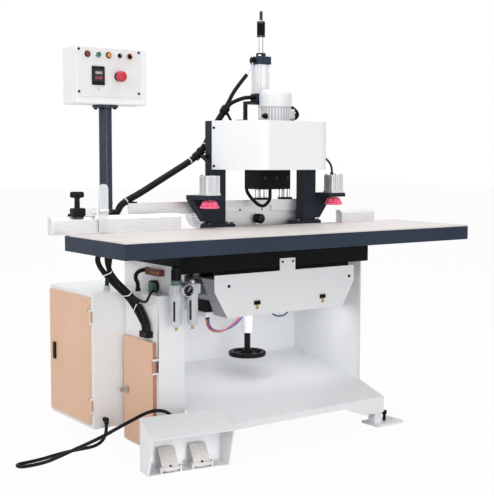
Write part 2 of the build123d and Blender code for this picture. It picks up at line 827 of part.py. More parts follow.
# Clamps left and right of the gantry
def make_clamps(feed_tube):
    inner = centre_x - pillar_offset - pillar_width / 2
    outer = centre_x - arm_half_span
    x = centre_x - clamp_offset
    arm_low = arm_top - arm_thick
    arm = block(outer, inner, arm_front, pillar_back, arm_low, arm_top)
    arm += prism_y([(outer, arm_low), (inner, arm_low), (inner, gusset_low),
                    (inner - gusset_width, gusset_low)],
                   pillar_front, pillar_back)
    arm -= round_z(x, clamp_y, arm_low - 1, arm_top + 1, clamp_rod_d + 2 * run)
    keep("clamp_arms", arm, mirrored(arm))
    body = block(x - clamp_body / 2, x + clamp_body / 2, clamp_y - clamp_body_depth / 2,
                 clamp_y + clamp_body_depth / 2, arm_top, arm_top + clamp_body_h)
    body = fillet(body.edges().filter_by(Axis.Z), 6)
    body -= round_z(x, clamp_y, arm_top - 1, arm_top + clamp_body_h - 10, clamp_rod_d + 2 * run)
    keep("air_cylinders", feed_tube, body, mirrored(body))
    rod_top = arm_top + clamp_stroke + 10
    pad_top = arm_low - pad_gap
    pad_low = pad_top - pad_height
    with BuildPart() as pad:
        with BuildSketch(Plane.XZ):
            with BuildLine():
                Polyline((0, pad_low), (pad_d / 2 - 5, pad_low), (pad_d / 2, pad_low + 5),
                         (pad_d / 2, pad_low + 10), (pad_d / 2 - 14, pad_low + 22), (18, pad_top),
                         (0, pad_top), close=True)
            make_face()
        revolve(axis=Axis.Z)
    pad = Pos(x, clamp_y, 0) * pad.part
    pad += round_z(x, clamp_y, pad_top - 5, rod_top, clamp_rod_d)
    keep("clamp_pad_left", pad)
    keep("clamp_pad_right", mirrored(pad))


# Fence plate behind the pillars and the rails behind the table
def make_fence():
    right = centre_x + pillar_offset + pillar_width / 2
    plate = block(fence_left, right, fence_y, fence_y + fence_thick, fence_low, fence_top)
    window = mortise_traverse + nose_d / 2 + 4
    plate -= block(centre_x - window, centre_x + window, fence_y - 1, fence_y + fence_thick + 1,
                   fence_low - 1, spindle_z + mortise_lift + nose_d / 2 + 4)
    left = [(rail_y, rail_low), (rail_y, rail_top - rail_chamfer), (rail_y + rail_chamfer, rail_top),
            (rail_back, rail_top), (rail_back, rail_low)]
    rail = prism_x(left, rail_left + rail_cap, rail_right)
    cap = prism_x(left, rail_left, rail_left + rail_cap)
    drop = right_rail_top - rail_top
    low = [(y, max(z + drop, rail_low)) for y, z in left]
    short = prism_x(low, right_rail_left, right_rail_right)
    keep("fence_rails", plate, rail, cap, short)


# Flip stop that slides along the left rail
def make_stop():
    low = rail_top + stop_slide_gap
    x0, x1 = stop_x - stop_block_w / 2, stop_x + stop_block_w / 2
    y = rail_y + 18.0
    arm_x = flip_x - flip_width / 2 - 2
    body = block(x0, x1, rail_y - 3, rail_y + 31, low, low + stop_block_h)
    body += block(x0, x1, rail_y + 30, rail_back + 6, low, low + 8)
    body += block(x0, x1, rail_back + stop_slide_gap, rail_back + 6, low - 30, low + 1)
    body += block(x1 - 1, arm_x, rail_y + 8, rail_y + 24, low + 4, flip_pivot_z + 9)
    hub_y = rail_y - stop_slide_gap - flip_thick / 2 - 5
    body += block(arm_x - 12, arm_x, hub_y - 8, rail_y + 16, flip_pivot_z - 8, flip_pivot_z + 9)
    body += round_x(hub_y, flip_pivot_z, arm_x - 1, arm_x + flip_width + 3, flip_pin_d)
    knob_z = low + stop_block_h
    body -= round_z(stop_x, y, low - 1, knob_z + 1, 12 + 2 * run)
    keep("stop_block", body)

    stem = round_z(stop_x, y, low + 3, knob_z + 1, 12)
    stem += round_z(stop_x, y, knob_z + seat, knob_top - knob_head_h + 1, knob_stem_d)
    head = round_z(stop_x, y, knob_top - knob_head_h, knob_top, knob_d)
    for i in range(6):
        notch = Pos(stop_x, y, knob_top - knob_head_h / 2) * Rot(0, 0, 60 * i)
        head -= notch * Pos(knob_d / 2 + 5, 0, 0) * Cylinder(8, knob_head_h + 2)
    keep("stop_knob", stem + head)

    half = flip_width / 2
    bar = block(flip_x - half, flip_x + half, hub_y - flip_thick / 2, hub_y + flip_thick / 2,
                flip_low, flip_top - half)
    bar += round_y(flip_x, flip_top - half, hub_y - flip_thick / 2, hub_y + flip_thick / 2, flip_width)
    bar += round_x(hub_y, flip_pivot_z, flip_x - half, flip_x + half, flip_thick + 8)
    bar -= round_x(hub_y, flip_pivot_z, arm_x - 2, arm_x + flip_width + 8, flip_pin_d + 2 * run)
    keep("flip_stop", bar)


# Lift, cross slide and plunge slide of the mortising unit
lift_back = lift_front + lift_depth
lift_half = lift_plate_width / 2
column_places = [(centre_x + sx * (lift_half - column_inset), y)
                 for sx in (-1, 1) for y in (lift_front + column_inset, lift_back - column_inset)]
rail_z0 = lift_plate_z + lift_plate_thick
cross_z0 = rail_z0 + slide_rail_h + slide_gap
cross_z1 = cross_z0 + slide_plate
plunge_rail_z1 = cross_z1 + slide_rail_h
saddle_z0 = plunge_rail_z1 + slide_gap
saddle_z1 = saddle_z0 + slide_plate
cross_front = lift_front + 20.0
cross_back = lift_back - 20.0
cross_rail_ys = (lift_front + 70.0, lift_back - 70.0)
plunge_rail_offset = 62.0
saddle_margin = 10.0
saddle_reach = 30.0
saddle_lip = 10.0
saddle_lip_gap = 3.0
pedestal_width = 90.0
pedestal_front = lift_front + 120.0
pedestal_back = lift_front + 228.0


def make_lift():
    bed = block(post_right, inner_right, lift_front, lift_back, lift_bed_z, lift_bed_z + lift_bed_thick)
    bed -= round_z(centre_x, screw_y, lift_bed_z - 1, lift_bed_z + lift_bed_thick + 1, screw_d + 2 * run)
    bed += block(valve_x - 10, valve_x + 100, valve_y - 6, lift_front + 1, lift_bed_z,
                 lift_bed_z + lift_bed_thick)
    nut = round_z(centre_x, screw_y, stem_top + seat, lift_bed_z, bearing_d)
    nut -= round_z(centre_x, screw_y, stem_top - 1, lift_bed_z + 1, screw_d + 2 * run)
    keep("lift_bed", bed, nut)
    rails = []
    for side in (-1, 1):
        x = centre_x + side * guide_rail_offset
        rails.append(block(x - guide_rail_width / 2, x + guide_rail_width / 2, pillar_back - guide_rail_depth,
                           pillar_back, back_plate_low, back_plate_high))
    for x, y in column_places:
        rails.append(round_z(x, y, lift_bed_z + lift_bed_thick, column_top, column_d))
    keep("guide_rails", *rails)

    plate = block(centre_x - lift_half, centre_x + lift_half, lift_front, lift_back, lift_plate_z, rail_z0)
    for x, y in column_places:
        plate -= round_z(x, y, lift_plate_z - 1, rail_z0 + 1, column_d + 2 * run)
    boss_low = lift_bed_z + lift_bed_thick + 10
    plate += round_z(centre_x, screw_y, boss_low, lift_plate_z, bearing_d)
    plate -= round_z(centre_x, screw_y, boss_low - 1, lift_plate_z + 16, screw_d + 2 * run)
    for y in cross_rail_ys:
        plate += block(centre_x - lift_half + 2 * column_inset, centre_x + lift_half - 2 * column_inset,
                       y - slide_rail_w / 2, y + slide_rail_w / 2, rail_z0, rail_z0 + slide_rail_h)
    keep("lift_plate", plate)

    wheel = round_z(centre_x, screw_y, wheel_z - wheel_rim / 2, wheel_z + wheel_rim / 2, wheel_d)
    wheel -= round_z(centre_x, screw_y, wheel_z - wheel_rim, wheel_z + wheel_rim, wheel_d - 2 * wheel_rim)
    wheel = fillet(wheel.edges().filter_by(GeomType.CIRCLE), 6)
    hub = round_z(centre_x, screw_y, wheel_z - wheel_rim / 2, stem_top, stem_d)
    hub += round_z(centre_x, screw_y, wheel_z - wheel_rim / 2, wheel_z + wheel_rim / 2 + 6, 44)
    for i in range(5):
        spoke = Pos(centre_x, screw_y, wheel_z + 2) * Rot(0, 0, 72 * i) * Rot(0, 3, 0)
        hub += spoke * Pos(wheel_d / 4, 0, 0) * Box(wheel_d / 2 - wheel_rim / 2, 18, 9)
    hub += round_z(centre_x, screw_y, stem_top, lift_plate_z + 12, screw_d)
    keep("handwheel", wheel + hub)


def make_mortiser():
    cross = block(centre_x - cross_half, centre_x + cross_half, cross_front, cross_back, cross_z0, cross_z1)
    for y in cross_rail_ys:
        for reach in (-1, 1):
            guide = y + reach * (slide_rail_w / 2 + slide_gap + 5)
            cross += block(centre_x - cross_half + 40, centre_x + cross_half - 40, guide - 5, guide + 5,
                           rail_z0 + 3, cross_z0)
    for side in (-1, 1):
        x = centre_x + side * plunge_rail_offset
        cross += block(x - slide_rail_w / 2, x + slide_rail_w / 2, cross_front, cross_back, cross_z1,
                       plunge_rail_z1)
    keep("cross_slide", cross)
    shield_half = pillar_offset - shield_end_gap
    arm_half = shield_arm / 2
    shield = block(centre_x - shield_half, centre_x + shield_half, shield_y, shield_y + shield_thick,
                   spindle_z - shield_drop, fence_top - shield_top_gap)
    shield -= round_y(centre_x, spindle_z, shield_y - 1, shield_y + shield_thick + 1, nose_d + 4)
    for side in (-1, 1):
        x = centre_x + side * (cross_half - arm_half)
        shield += block(x - arm_half, x + arm_half, shield_y + shield_thick, shield_y + shield_arm_thick,
                        cross_z1, spindle_z - shield_arm_drop)
        shield += block(x - arm_half, x + arm_half, shield_y + shield_thick, cross_front + shield_foot,
                        cross_z1, cross_z1 + shield_arm_thick)
    keep("spindle_shield", shield)

    saddle_half = plunge_rail_offset + slide_rail_w / 2 + slide_gap + saddle_margin
    saddle_front = pedestal_front - saddle_reach
    saddle_back = pedestal_back + saddle_reach
    saddle = block(centre_x - saddle_half, centre_x + saddle_half, saddle_front, saddle_back, saddle_z0,
                   saddle_z1)
    for side in (-1, 1):
        x = centre_x + side * (saddle_half - saddle_lip / 2)
        saddle += block(x - saddle_lip / 2, x + saddle_lip / 2, saddle_front, saddle_back,
                        cross_z1 + saddle_lip_gap, saddle_z0)
    pedestal_half = pedestal_width / 2
    saddle += block(centre_x - pedestal_half, centre_x + pedestal_half, pedestal_front, pedestal_back,
                    saddle_z1, spindle_z)
    saddle += round_y(centre_x, spindle_z, housing_front, spindle_back, housing_d)
    saddle -= round_y(centre_x, spindle_z, housing_front - 1, spindle_back - 10, spindle_d + 2 * run)
    keep("plunge_saddle", saddle)
    motor = round_y(centre_x, spindle_z, spindle_back, spindle_back + mortise_motor_length, mortise_motor_d)
    motor = fillet(motor.faces().sort_by(Axis.Y)[-1].edges(), 14)
    keep("mortise_motor", motor)
    nose = round_y(centre_x, spindle_z, nose_front, housing_front - 4, nose_d)
    nose = chamfer(nose.faces().sort_by(Axis.Y)[0].edges(), 4)
    nose += round_y(centre_x, spindle_z, housing_front - 5, spindle_back - 12, spindle_d)
    nose -= round_y(centre_x, spindle_z, nose_front - 1, nose_front + collet_bore_depth, collet_bore_d)
    flats = nose_d / 2 - 3
    for side in (-1, 1):
        z = spindle_z + side * (flats + 3)
        nose -= block(centre_x - nose_d, centre_x + nose_d, nose_front + 12, nose_front + 24, z - 3, z + 3)
    keep("mortise_spindle", nose)


# Cover under the table
def make_cover():
    front = [(centre_x - cover_low_half, cover_low), (centre_x + cover_low_half, cover_low),
             (centre_x + cover_top_half, cover_top), (centre_x - cover_top_half, cover_top)]
    cover = prism_y(front, cover_y, cover_y + cover_sheet)
    lean = math.hypot(cover_top - cover_low, cover_top_half - cover_low_half)
    skew = cover_sheet * lean / (cover_top - cover_low)
    cheek = [(centre_x - cover_low_half, cover_low), (centre_x - cover_low_half + skew, cover_low),
             (centre_x - cover_top_half + skew, cover_top), (centre_x - cover_top_half, cover_top)]
    cheek = prism_y(cheek, cover_y, cover_y + cover_return)
    cover += cheek + mirrored(cheek)
    tab = block(centre_x - tab_width / 2, centre_x + tab_width / 2, cover_y, cover_y + cover_sheet,
                cover_top, tab_top)
    keep("under_cover", cover + tab)


# Control post, box, panel and operator controls
box_x0 = control_post_x - control_box_width / 2
box_x1 = control_post_x + control_box_width / 2
box_y0 = control_post_y - control_box_depth / 2
box_y1 = control_post_y + control_box_depth / 2
box_top = control_box_low + control_box_height
panel_x0 = box_x0 + 1.0
panel_z0 = box_top - 3.0 - panel_height
panel_front = box_y0 - panel_thick
button_z = panel_z0 + 152.0
button_x0 = panel_x0 + 41.0
estop_x = panel_x0 + 167.0
estop_z = panel_z0 + 76.0
display_x = panel_x0 + 83.0
display_z = panel_z0 + 76.0
panel_screw_x = (panel_x0 + 6.0, panel_x0 + 252.0)
panel_screw_z = (panel_z0 + 17.0, panel_z0 + 168.0)
button_names = ("power_lamp", "start_button", "cycle_button", "clamp_selector", "mode_selector")


def make_control_box():
    pipe = round_z(control_post_x, control_post_y, control_post_low, control_box_low - control_flange_h,
                   control_post_d)
    pipe -= round_z(control_post_x, control_post_y, control_post_low - 1, control_box_low + 1,
                    control_post_d - 2 * control_post_wall)
    flange = round_z(control_post_x, control_post_y, control_box_low - control_flange_h, control_box_low,
                     control_flange_d)
    flange -= round_z(control_post_x, control_post_y, control_post_low, control_box_low + 1,
                      control_post_d - 2 * control_post_wall)
    cheek = block(control_post_x - 42, control_post_x + 42, table_depth,
                  control_post_y + control_post_d / 2 + 10,
                  table_low, table_low + 32)
    cheek -= round_z(control_post_x, control_post_y, table_low - 1, table_height, control_post_d)
    keep("control_post", pipe + flange, cheek)

    case = block(box_x0, box_x1, box_y0, box_y1, control_box_low, box_top)
    case = fillet(case.edges().filter_by(Axis.Y), 6)
    case -= block(box_x0 + control_wall, box_x1 - control_wall, box_y0 + control_wall, box_y1 - control_wall,
                  control_box_low + control_wall, box_top - control_wall)
    panel = block(panel_x0, panel_x0 + panel_width, panel_front, box_y0, panel_z0, panel_z0 + panel_height)
    for i in range(1, 5):
        x = button_x0 + i * button_pitch
        hole = round_y(x, button_z, panel_front - 1, box_y0 + control_wall + 1, button_d - 4 + 2 * run)
        panel -= hole
        case -= hole
    stem = round_y(estop_x, estop_z, panel_front - 1, box_y0 + control_wall + 1, 16 + 2 * run)
    keep("control_box", case - stem)
    panel -= stem
    screen = block(display_x - 26, display_x + 26, panel_front - 6, panel_front, display_z - 34,
                   display_z + 34)
    collar = round_y(estop_x, estop_z, panel_front - 12, panel_front, estop_d - 6)
    collar -= round_y(estop_x, estop_z, panel_front - 13, panel_front + 1, 16 + 2 * run)
    lamp = round_y(button_x0, button_z, panel_front - 9, panel_front, button_d)
    lamp = fillet(lamp.faces().sort_by(Axis.Y)[0].edges(), 5)
    keep("control_panel", panel, screen, lamp, collar)
    for i, name in enumerate(button_names[1:], start=1):
        x = button_x0 + i * button_pitch
        shaft = round_y(x, button_z, panel_front - 6, box_y0 + control_wall + 14, button_d - 4)
        knob_front = panel_front - 10
        if name.endswith("button"):
            knob = round_y(x, button_z, knob_front, panel_front - 5, button_d)
            knob = fillet(knob.faces().sort_by(Axis.Y)[0].edges(), 2)
        else:
            knob = round_y(x, button_z, panel_front - 7, panel_front - seat, button_d)
            knob += block(x - 3, x + 3, knob_front - 6, panel_front - 6, button_z - 8, button_z + 8)
        keep(name, shaft + knob)
    head = round_y(estop_x, estop_z, panel_front - 36, panel_front - 20, estop_d)
    head = fillet(head.faces().sort_by(Axis.Y)[0].edges(), 7)
    head += round_y(estop_x, estop_z, panel_front - 21, box_y0 + control_wall + 14, 16)
    keep("estop_button", head)


# Air service unit on the left post
def make_air_unit():
    solids = []
    left, right = air_x, air_x + air_pitch
    half = air_body / 2
    manifold = block(left - half, right + half, air_y - half, air_y + half - 6, air_body_low, air_body_high)
    manifold -= round_x(air_y, (air_body_low + air_body_high) / 2, left - half - 1,
                        left - half + air_port_depth,
                        air_port_d)
    manifold -= round_z(left, air_y, air_body_high - 20, air_body_high + 1, 16 + 2 * run)
    solids.append(manifold)
    for x in (left, right):
        bowl = round_z(x, air_y, bowl_low, air_body_low, bowl_d)
        bowl = fillet(bowl.faces().sort_by(Axis.Z)[0].edges(), 10)
        drain = round_z(x, air_y, bowl_low - 12, bowl_low, 12)
        solids.append(bowl + drain)
    solids.append(round_z(right, air_y, air_body_high, air_body_high + 16, 22))
    gauge_x = (left + right) / 2
    gauge_z = air_body_low + 14
    gauge = round_y(gauge_x, gauge_z, air_y - half - 28, air_y - half - 8, gauge_d)
    gauge += round_y(gauge_x, gauge_z, air_y - half - 9, air_y - half, 14)
    solids.append(gauge)
    strap = block(post_right - post_web + sheet, post_right - sheet, air_y + half - 6, base_front,
                  air_body_low, air_body_high)
    solids.append(strap)
    keep("air_service_unit", *solids)
    knob = round_z(left, air_y, air_body_high + seat, regulator_top, regulator_d)
    knob = fillet(knob.faces().sort_by(Axis.Z)[-1].edges(), 4)
    knob += round_z(left, air_y, air_body_high - 18, air_body_high + 2, 16)
    keep("regulator_knob", knob)


# Foot pedal: a guard on the floor with two pedals inside
def pedal_place(shape):
    """Move a piece from the pedal's own frame to its place on the floor."""
    return Pos(pedal_left_x, pedal_left_y, 0) * Rot(0, 0, pedal_turn) * shape


pedal_axis_y = pedal_toe + 10.0
pedal_axis_z = 17.0
pedal_xs = (90.0, 214.0)
pedal_tilt = 54.0


def make_pedal():
    side = [(pedal_toe, 0), (0, pedal_front_h), (pedal_depth, pedal_back_h), (pedal_depth, 0)]
    slope = (pedal_back_h - pedal_front_h) / pedal_depth
    roof = pedal_sheet * math.hypot(1, slope)
    reach = 60.0
    room = [(-reach, pedal_sheet), (-reach, pedal_front_h - roof - reach * slope),
            (pedal_depth - pedal_sheet, pedal_back_h - roof - pedal_sheet * slope),
            (pedal_depth - pedal_sheet, pedal_sheet)]
    guard = prism_x(side, 0, pedal_width) - prism_x(room, pedal_sheet, pedal_width - pedal_sheet)
    half = pedal_plate_w / 2
    for x in pedal_xs:
        for end in (-1, 1):
            ear = x + end * (half + 5)
            guard += block(ear - 4, ear + 4, pedal_axis_y - 9, pedal_axis_y + 9, pedal_sheet - 1,
                           pedal_axis_z + 9)
        guard += round_x(pedal_axis_y, pedal_axis_z, x - half - 5, x + half + 5, pedal_pin_d)
    keep("pedal_guard", pedal_place(guard))
    for x, name in zip(pedal_xs, ("left", "right")):
        tread = block(-half, half, -pedal_plate_nose, pedal_plate_l, -pedal_plate_t / 2, pedal_plate_t / 2)
        tread = fillet(tread.edges().filter_by(Axis.Z).sort_by(Axis.Y)[:2], 20)
        tread = Rot(pedal_tilt, 0, 0) * tread
        tread += round_x(0, 0, -half, half, pedal_pin_d + 8)
        tread -= round_x(0, 0, -half - 1, half + 1, pedal_pin_d + 2 * run)
        keep("pedal_" + name, pedal_place(Pos(x, pedal_axis_y, pedal_axis_z) * tread))


# Small black fasteners and the cover's two latches
screw_head = 4.0


def make_fasteners(bolts):
    screws = list(bolts)
    for step in cover_screw_steps:
        screws.append(round_y(centre_x + step, cover_top - cover_screw_drop, cover_y - screw_head, cover_y,
                              cover_screw_d))
    for side in (-1, 1):
        screws.append(round_y(centre_x + side * tab_screw_step, tab_top - tab_screw_drop,
                              cover_y - screw_head,
                              cover_y, tab_screw_d))
    for step in cover_latch_steps:
        x = centre_x + step
        low = cover_low + cover_latch_rise
        screws.append(block(x - cover_latch_width / 2, x + cover_latch_width / 2, cover_y - screw_head - 2,
                            cover_y, low, low + cover_latch_height))
        screws.append(round_y(x, cover_low + cover_ring_rise, cover_y - screw_head - 1, cover_y,
                              cover_ring_d))
    half = pillar_offset + pillar_width / 2
    lean = math.atan2(half - hood_front_half, pillar_front - hood_front_y)
    for side in (-1, 1):
        for z in (hood_low + hood_screw_low, pillar_top - hood_screw_drop):
            y = pillar_front - hood_screw_in
            x = centre_x + side * (half - (pillar_front - y) * math.tan(lean))
            screw = Rot(0, 90 * side, 0) * Pos(0, 0, screw_head / 2) * Cylinder(hood_screw_d / 2, screw_head)
            screws.append(Pos(x, y, z) * Rot(0, 0, -side * math.degrees(lean)) * screw)
    for x in panel_screw_x:
        for z in panel_screw_z:
            screws.append(round_y(x, z, panel_front - panel_screw_h, panel_front, panel_screw_d))
    keep("black_screws", *screws)


# Places where cords and hoses start and end
elbow_x = 236.0
elbow_y = cabinet_front - 17.0
elbow_z = 104.0
elbow_d = 18.0
elbow_swell = 1.5
roof_gland = (283.0, 657.0)
gland_box_y = (386.0, 438.0)
gland_box_gap = 15.0
gland_box_height = 24.0
gland_box_low = side_door_bottom + side_door_height + gland_box_gap
gland_box_z = (gland_box_low, gland_box_low + gland_box_height)
gland_box_x = base_left - 30.0
post_gland_z = table_height + 65.0
post_side = control_post_x + control_post_d / 2
bracket_gland = (control_post_x + 30.0, control_post_y + 24.0)
guard_gland_x = 150.0
guard_gland_z = 150.0
tube_port_xs = (valve_x + 14.0, valve_x + 30.0)
tube_port_ys = (valve_y + 20.0, valve_y + 34.0)
ledge_port = (346.0, 522.0)
web_port = (534.0, base_top - 25.0)
bed_port_y = lift_front + 22.0
bed_port_xs = (centre_x - 62.0, centre_x - 46.0, centre_x + 102.0, centre_x + 200.0)
fitting_h = 12.0
clamp_port_y = clamp_y + 12.0
clamp_port_z = arm_top + clamp_body_h + 76.0
clamp_port_back = pillar_front + pillar_depth / 2
hose_y = pillar_back + back_plate_thick + hose_d / 2 + 6
hose_end = Vector(centre_x - 156.0, hose_y, table_height + 458.0)
hose_rise = Vector(0.605, 0, 0.796).normalized()
joint_length = 26.0


def on_guard(x, y, z):
    """A place given in the pedal guard's own frame."""
    turn = math.radians(pedal_turn)
    return (pedal_left_x + x * math.cos(turn) - y * math.sin(turn),
            pedal_left_y + x * math.sin(turn) + y * math.cos(turn), z)


def make_glands():
    elbow = round_y(elbow_x, elbow_z, elbow_y, cabinet_front, elbow_d)
    elbow += Pos(elbow_x, elbow_y, elbow_z) * Sphere(elbow_d / 2 + elbow_swell)
    elbow += round_z(elbow_x, elbow_y, elbow_z - 16, elbow_z, elbow_d)
    glands = [elbow]
    glands.append(round_z(roof_gland[0], roof_gland[1], cabinet_top, cabinet_top + 20, 26))
    glands.append(block(gland_box_x, base_left, gland_box_y[0], gland_box_y[1], gland_box_z[0],
                        gland_box_z[1]))
    glands.append(round_x(control_post_y, post_gland_z, post_side - 8, post_side + 10, hose_d + 6)
                  - round_z(control_post_x, control_post_y, post_gland_z - 40, post_gland_z + 40,
                            control_post_d))
    plug_d = control_post_d - 2 * control_post_wall
    glands.append(round_z(control_post_x, control_post_y, control_post_low, control_post_low + 14, plug_d))
    glands.append(round_z(bracket_gland[0], bracket_gland[1], table_low - 14, table_low, thin_hose_d + 6))
    guard = round_y(guard_gland_x, guard_gland_z, pedal_depth, pedal_depth + 10, pedal_cable_d + 7)
    glands.append(pedal_place(guard))
    for x, y in zip(tube_port_xs, tube_port_ys):
        glands.append(round_z(x, y, lift_bed_z - fitting_h, lift_bed_z, air_tube_d + 4))
    web_x = post_right - post_web
    glands.append(round_x(web_port[0], web_port[1], web_x - fitting_h, web_x, thin_hose_d + 4))
    glands.append(round_z(ledge_port[0], ledge_port[1], post_ledge_z, post_ledge_z + fitting_h,
                          thin_hose_d + 4))
    for x in bed_port_xs:
        glands.append(round_z(x, bed_port_y, lift_bed_z - fitting_h, lift_bed_z, air_tube_d + 4))
    cap_x = centre_x - cylinder_cap / 2
    glands.append(block(cap_x - 20, cap_x, cylinder_y - 9, cylinder_y + 9, cylinder_high - 26,
                        cylinder_high - 8))
    glands.append(round_x(cylinder_y, cylinder_low + 16, cap_x - 14, cap_x, thin_hose_d))
    joint = Plane(origin=hose_end + hose_rise * (joint_length / 2), z_dir=hose_rise)
    glands.append(joint * Cylinder(hose_d / 2 + 5, joint_length))
    x = centre_x - clamp_offset
    pillar_side = centre_x - pillar_offset - pillar_width / 2
    stub = round_z(x, clamp_port_y, arm_top + clamp_body_h, arm_top + clamp_body_h + 10, 14)
    side = round_x(clamp_port_back, clamp_port_z, pillar_side - 10, pillar_side, 14)
    glands.extend([stub, mirrored(stub), side, mirrored(side)])
    keep("cable_glands", *glands)


# Free cords and hoses
def make_cords():
    keep("pedal_cable", cord("pedal_cable", [
        (elbow_x, elbow_y, elbow_z - 16), (elbow_x, elbow_y, 58), (elbow_x - 16, elbow_y - 1, 24),
        (182, 580, 8), (128, 582, 7), (68, 579, 7), (10, 567, 7), (-46, 549, 7), (-100, 541, 7),
        (-152, 540, 7), (-164, 519, 7), (-152, 498, 7), (-100, 497, 7), (-56, 488, 13), (-12, 462, 35),
        (20, 410, 67), (45, 353, 98), (91, 320, 126), (146, 312, 149), (204, 309, 163), (256, 303, 170),
        (298, 292, 170), (328, 270, 160), on_guard(guard_gland_x, pedal_depth + 30, guard_gland_z),
        on_guard(guard_gland_x, pedal_depth + 10, guard_gland_z)], pedal_cable_d))

    top = table_height
    upper = cord("upper_hose", [
        (post_side + 10, control_post_y, post_gland_z), (post_side + 38, control_post_y, post_gland_z),
        (314, control_post_y + 22, top + 94), (374, control_post_y + 28, top + 140), (458, hose_y, top + 182),
        (544, hose_y, top + 220), (612, hose_y, top + 256), (656, hose_y, top + 304),
        (686, hose_y, top + 362),
        tuple(hose_end - hose_rise * 53), tuple(hose_end)], hose_d)
    cap_x = centre_x - cylinder_cap / 2
    fork = hose_end + hose_rise * joint_length
    apart = thin_hose_d / 2 + 0.5
    fork_a = fork + Vector(0, apart, 0)
    fork_b = fork - Vector(0, apart, 0)
    thin_a = cord("cylinder_hose", [
        tuple(fork_a), tuple(fork_a + hose_rise * 30), (802, hose_y + 2, top + 538),
        (828, hose_y - 12, top + 576),
        (850, cylinder_y + 22, top + 608), (cap_x - 10, cylinder_y, top + 632),
        (cap_x - 10, cylinder_y, cylinder_high - 26)], thin_hose_d)
    thin_b = cord("bracket_hose", [
        tuple(fork_b), tuple(fork_b + hose_rise * 22), (796, hose_y - 18, top + 514),
        (822, cylinder_y + 10, cylinder_low + 16), (842, cylinder_y, cylinder_low + 16),
        (cap_x - 14, cylinder_y, cylinder_low + 16)], thin_hose_d)
    half = lower_hose_d / 2 + 0.5
    low = table_low
    low_a = cord("lower_hose_left", [
        (control_post_x - half, control_post_y, low), (control_post_x - half, control_post_y, low - 22),
        (175, 514, low - 48), (166, 518, low - 77), (178, 520, low - 106), (212, 522, low - 134),
        (250, 524, low - 160), (284, 524, low - 186), (306, 508, low - 212), (315, 480, low - 238),
        (316, 452, low - 264), (316, 424, low - 292), (316, 424, gland_box_z[1])], lower_hose_d)
    low_b = cord("lower_hose_right", [
        (control_post_x + half, control_post_y, low), (control_post_x + half, control_post_y, low - 22),
        (203, 504, low - 48), (199, 502, low - 77), (212, 500, low - 106), (242, 498, low - 134),
        (276, 496, low - 162), (302, 484, low - 190), (314, 460, low - 218), (316, 434, low - 244),
        (316, 412, low - 268), (316, 400, low - 293), (316, 400, gland_box_z[1])], lower_hose_d)
    link = cord("cabinet_hose", [
        (bracket_gland[0], bracket_gland[1], low - 14), (bracket_gland[0], bracket_gland[1], low - 40),
        (240, 552, cabinet_top + 118), (256, 592, cabinet_top + 88), (276, 636, cabinet_top + 62),
        (roof_gland[0], roof_gland[1], cabinet_top + 40), (roof_gland[0], roof_gland[1], cabinet_top + 20)],
        thin_hose_d)
    x = centre_x - clamp_offset
    stub_z = arm_top + clamp_body_h + 10
    side_x = centre_x - pillar_offset - pillar_width / 2 - 10
    clamp_hose = cord("clamp_hose", [
        (x, clamp_port_y, stub_z), (x, clamp_port_y, stub_z + 24),
        (x + 3, clamp_port_y + 22, clamp_port_z - 16),
        (x + 10, clamp_port_back - 22, clamp_port_z), (x + 18, clamp_port_back, clamp_port_z),
        (side_x, clamp_port_back, clamp_port_z)], 9.0)
    web_x = post_right - post_web
    ledge = cord("ledge_hose", [
        (web_x - fitting_h, web_port[0], web_port[1]), (web_x - fitting_h - 24, web_port[0], web_port[1]),
        (342, 532, web_port[1] - 14), (338, 526, web_port[1] - 34),
        (ledge_port[0], ledge_port[1], post_ledge_z + 32),
        (ledge_port[0], ledge_port[1], post_ledge_z + fitting_h)], thin_hose_d)
    keep("hoses", upper, thin_a, thin_b, low_a, low_b, link, ledge, clamp_hose, mirrored(clamp_hose))

    tubes = []
    low_z = lift_bed_z - fitting_h
    for x, y, end in zip(tube_port_xs, tube_port_ys, bed_port_xs):
        tubes.append(cord("air_tube", [
            (x, y, low_z), (x, y, low_z - 22), (x + 18, y + 4, low_z - 44), (x + 54, y + 16, low_z - 58),
            (x + 108, y + 40, low_z - 63), (end - 78, bed_port_y - 32, low_z - 58),
            (end - 26, bed_port_y - 8, low_z - 44), (end, bed_port_y, low_z - 22), (end, bed_port_y, low_z)],
            air_tube_d))
    a, b = bed_port_xs[2], bed_port_xs[3]
    tubes.append(cord("air_tube", [
        (a, bed_port_y, low_z), (a, bed_port_y, low_z - 20), (a + 20, bed_port_y - 1, low_z - 38),
        (a + 49, bed_port_y - 2, low_z - 42), (b - 20, bed_port_y - 1, low_z - 38),
        (b, bed_port_y, low_z - 20),
        (b, bed_port_y, low_z)], air_tube_d))
    keep("air_tubes", *tubes)

    first = Vector(centre_x - 66, block_front + 88, block_low)
    last = Vector(centre_x - 3, block_front + 32, block_low)
    across = (last - first).normalized()
    bend = (last - first).length / 2
    drop = 20 + bend * math.tan(math.pi / 6)
    down = Vector(0, 0, -1)
    loop = cord("head_hose", [
        tuple(first), tuple(first + down * drop),
        tuple(first + across * bend + down * (20 + 2 * bend / math.sqrt(3))),
        tuple(last + down * drop), tuple(last)], head_hose_d)
    start = centre_x + motor_d / 2 + 18
    top = carriage_low + carriage_height
    lead_z = motor_fan_low - 30
    back = carriage_front + carriage_thick / 2
    lead = cord("motor_cable", [
        (start, motor_y, lead_z), (start + 22, motor_y, lead_z), (start + 40, motor_y + 16, lead_z + 4),
        (start + 46, motor_y + 42, lead_z + 8), (start + 46, back, lead_z), (start + 46, back, top)], 10.0)
    keep("head_hoses", loop, lead)


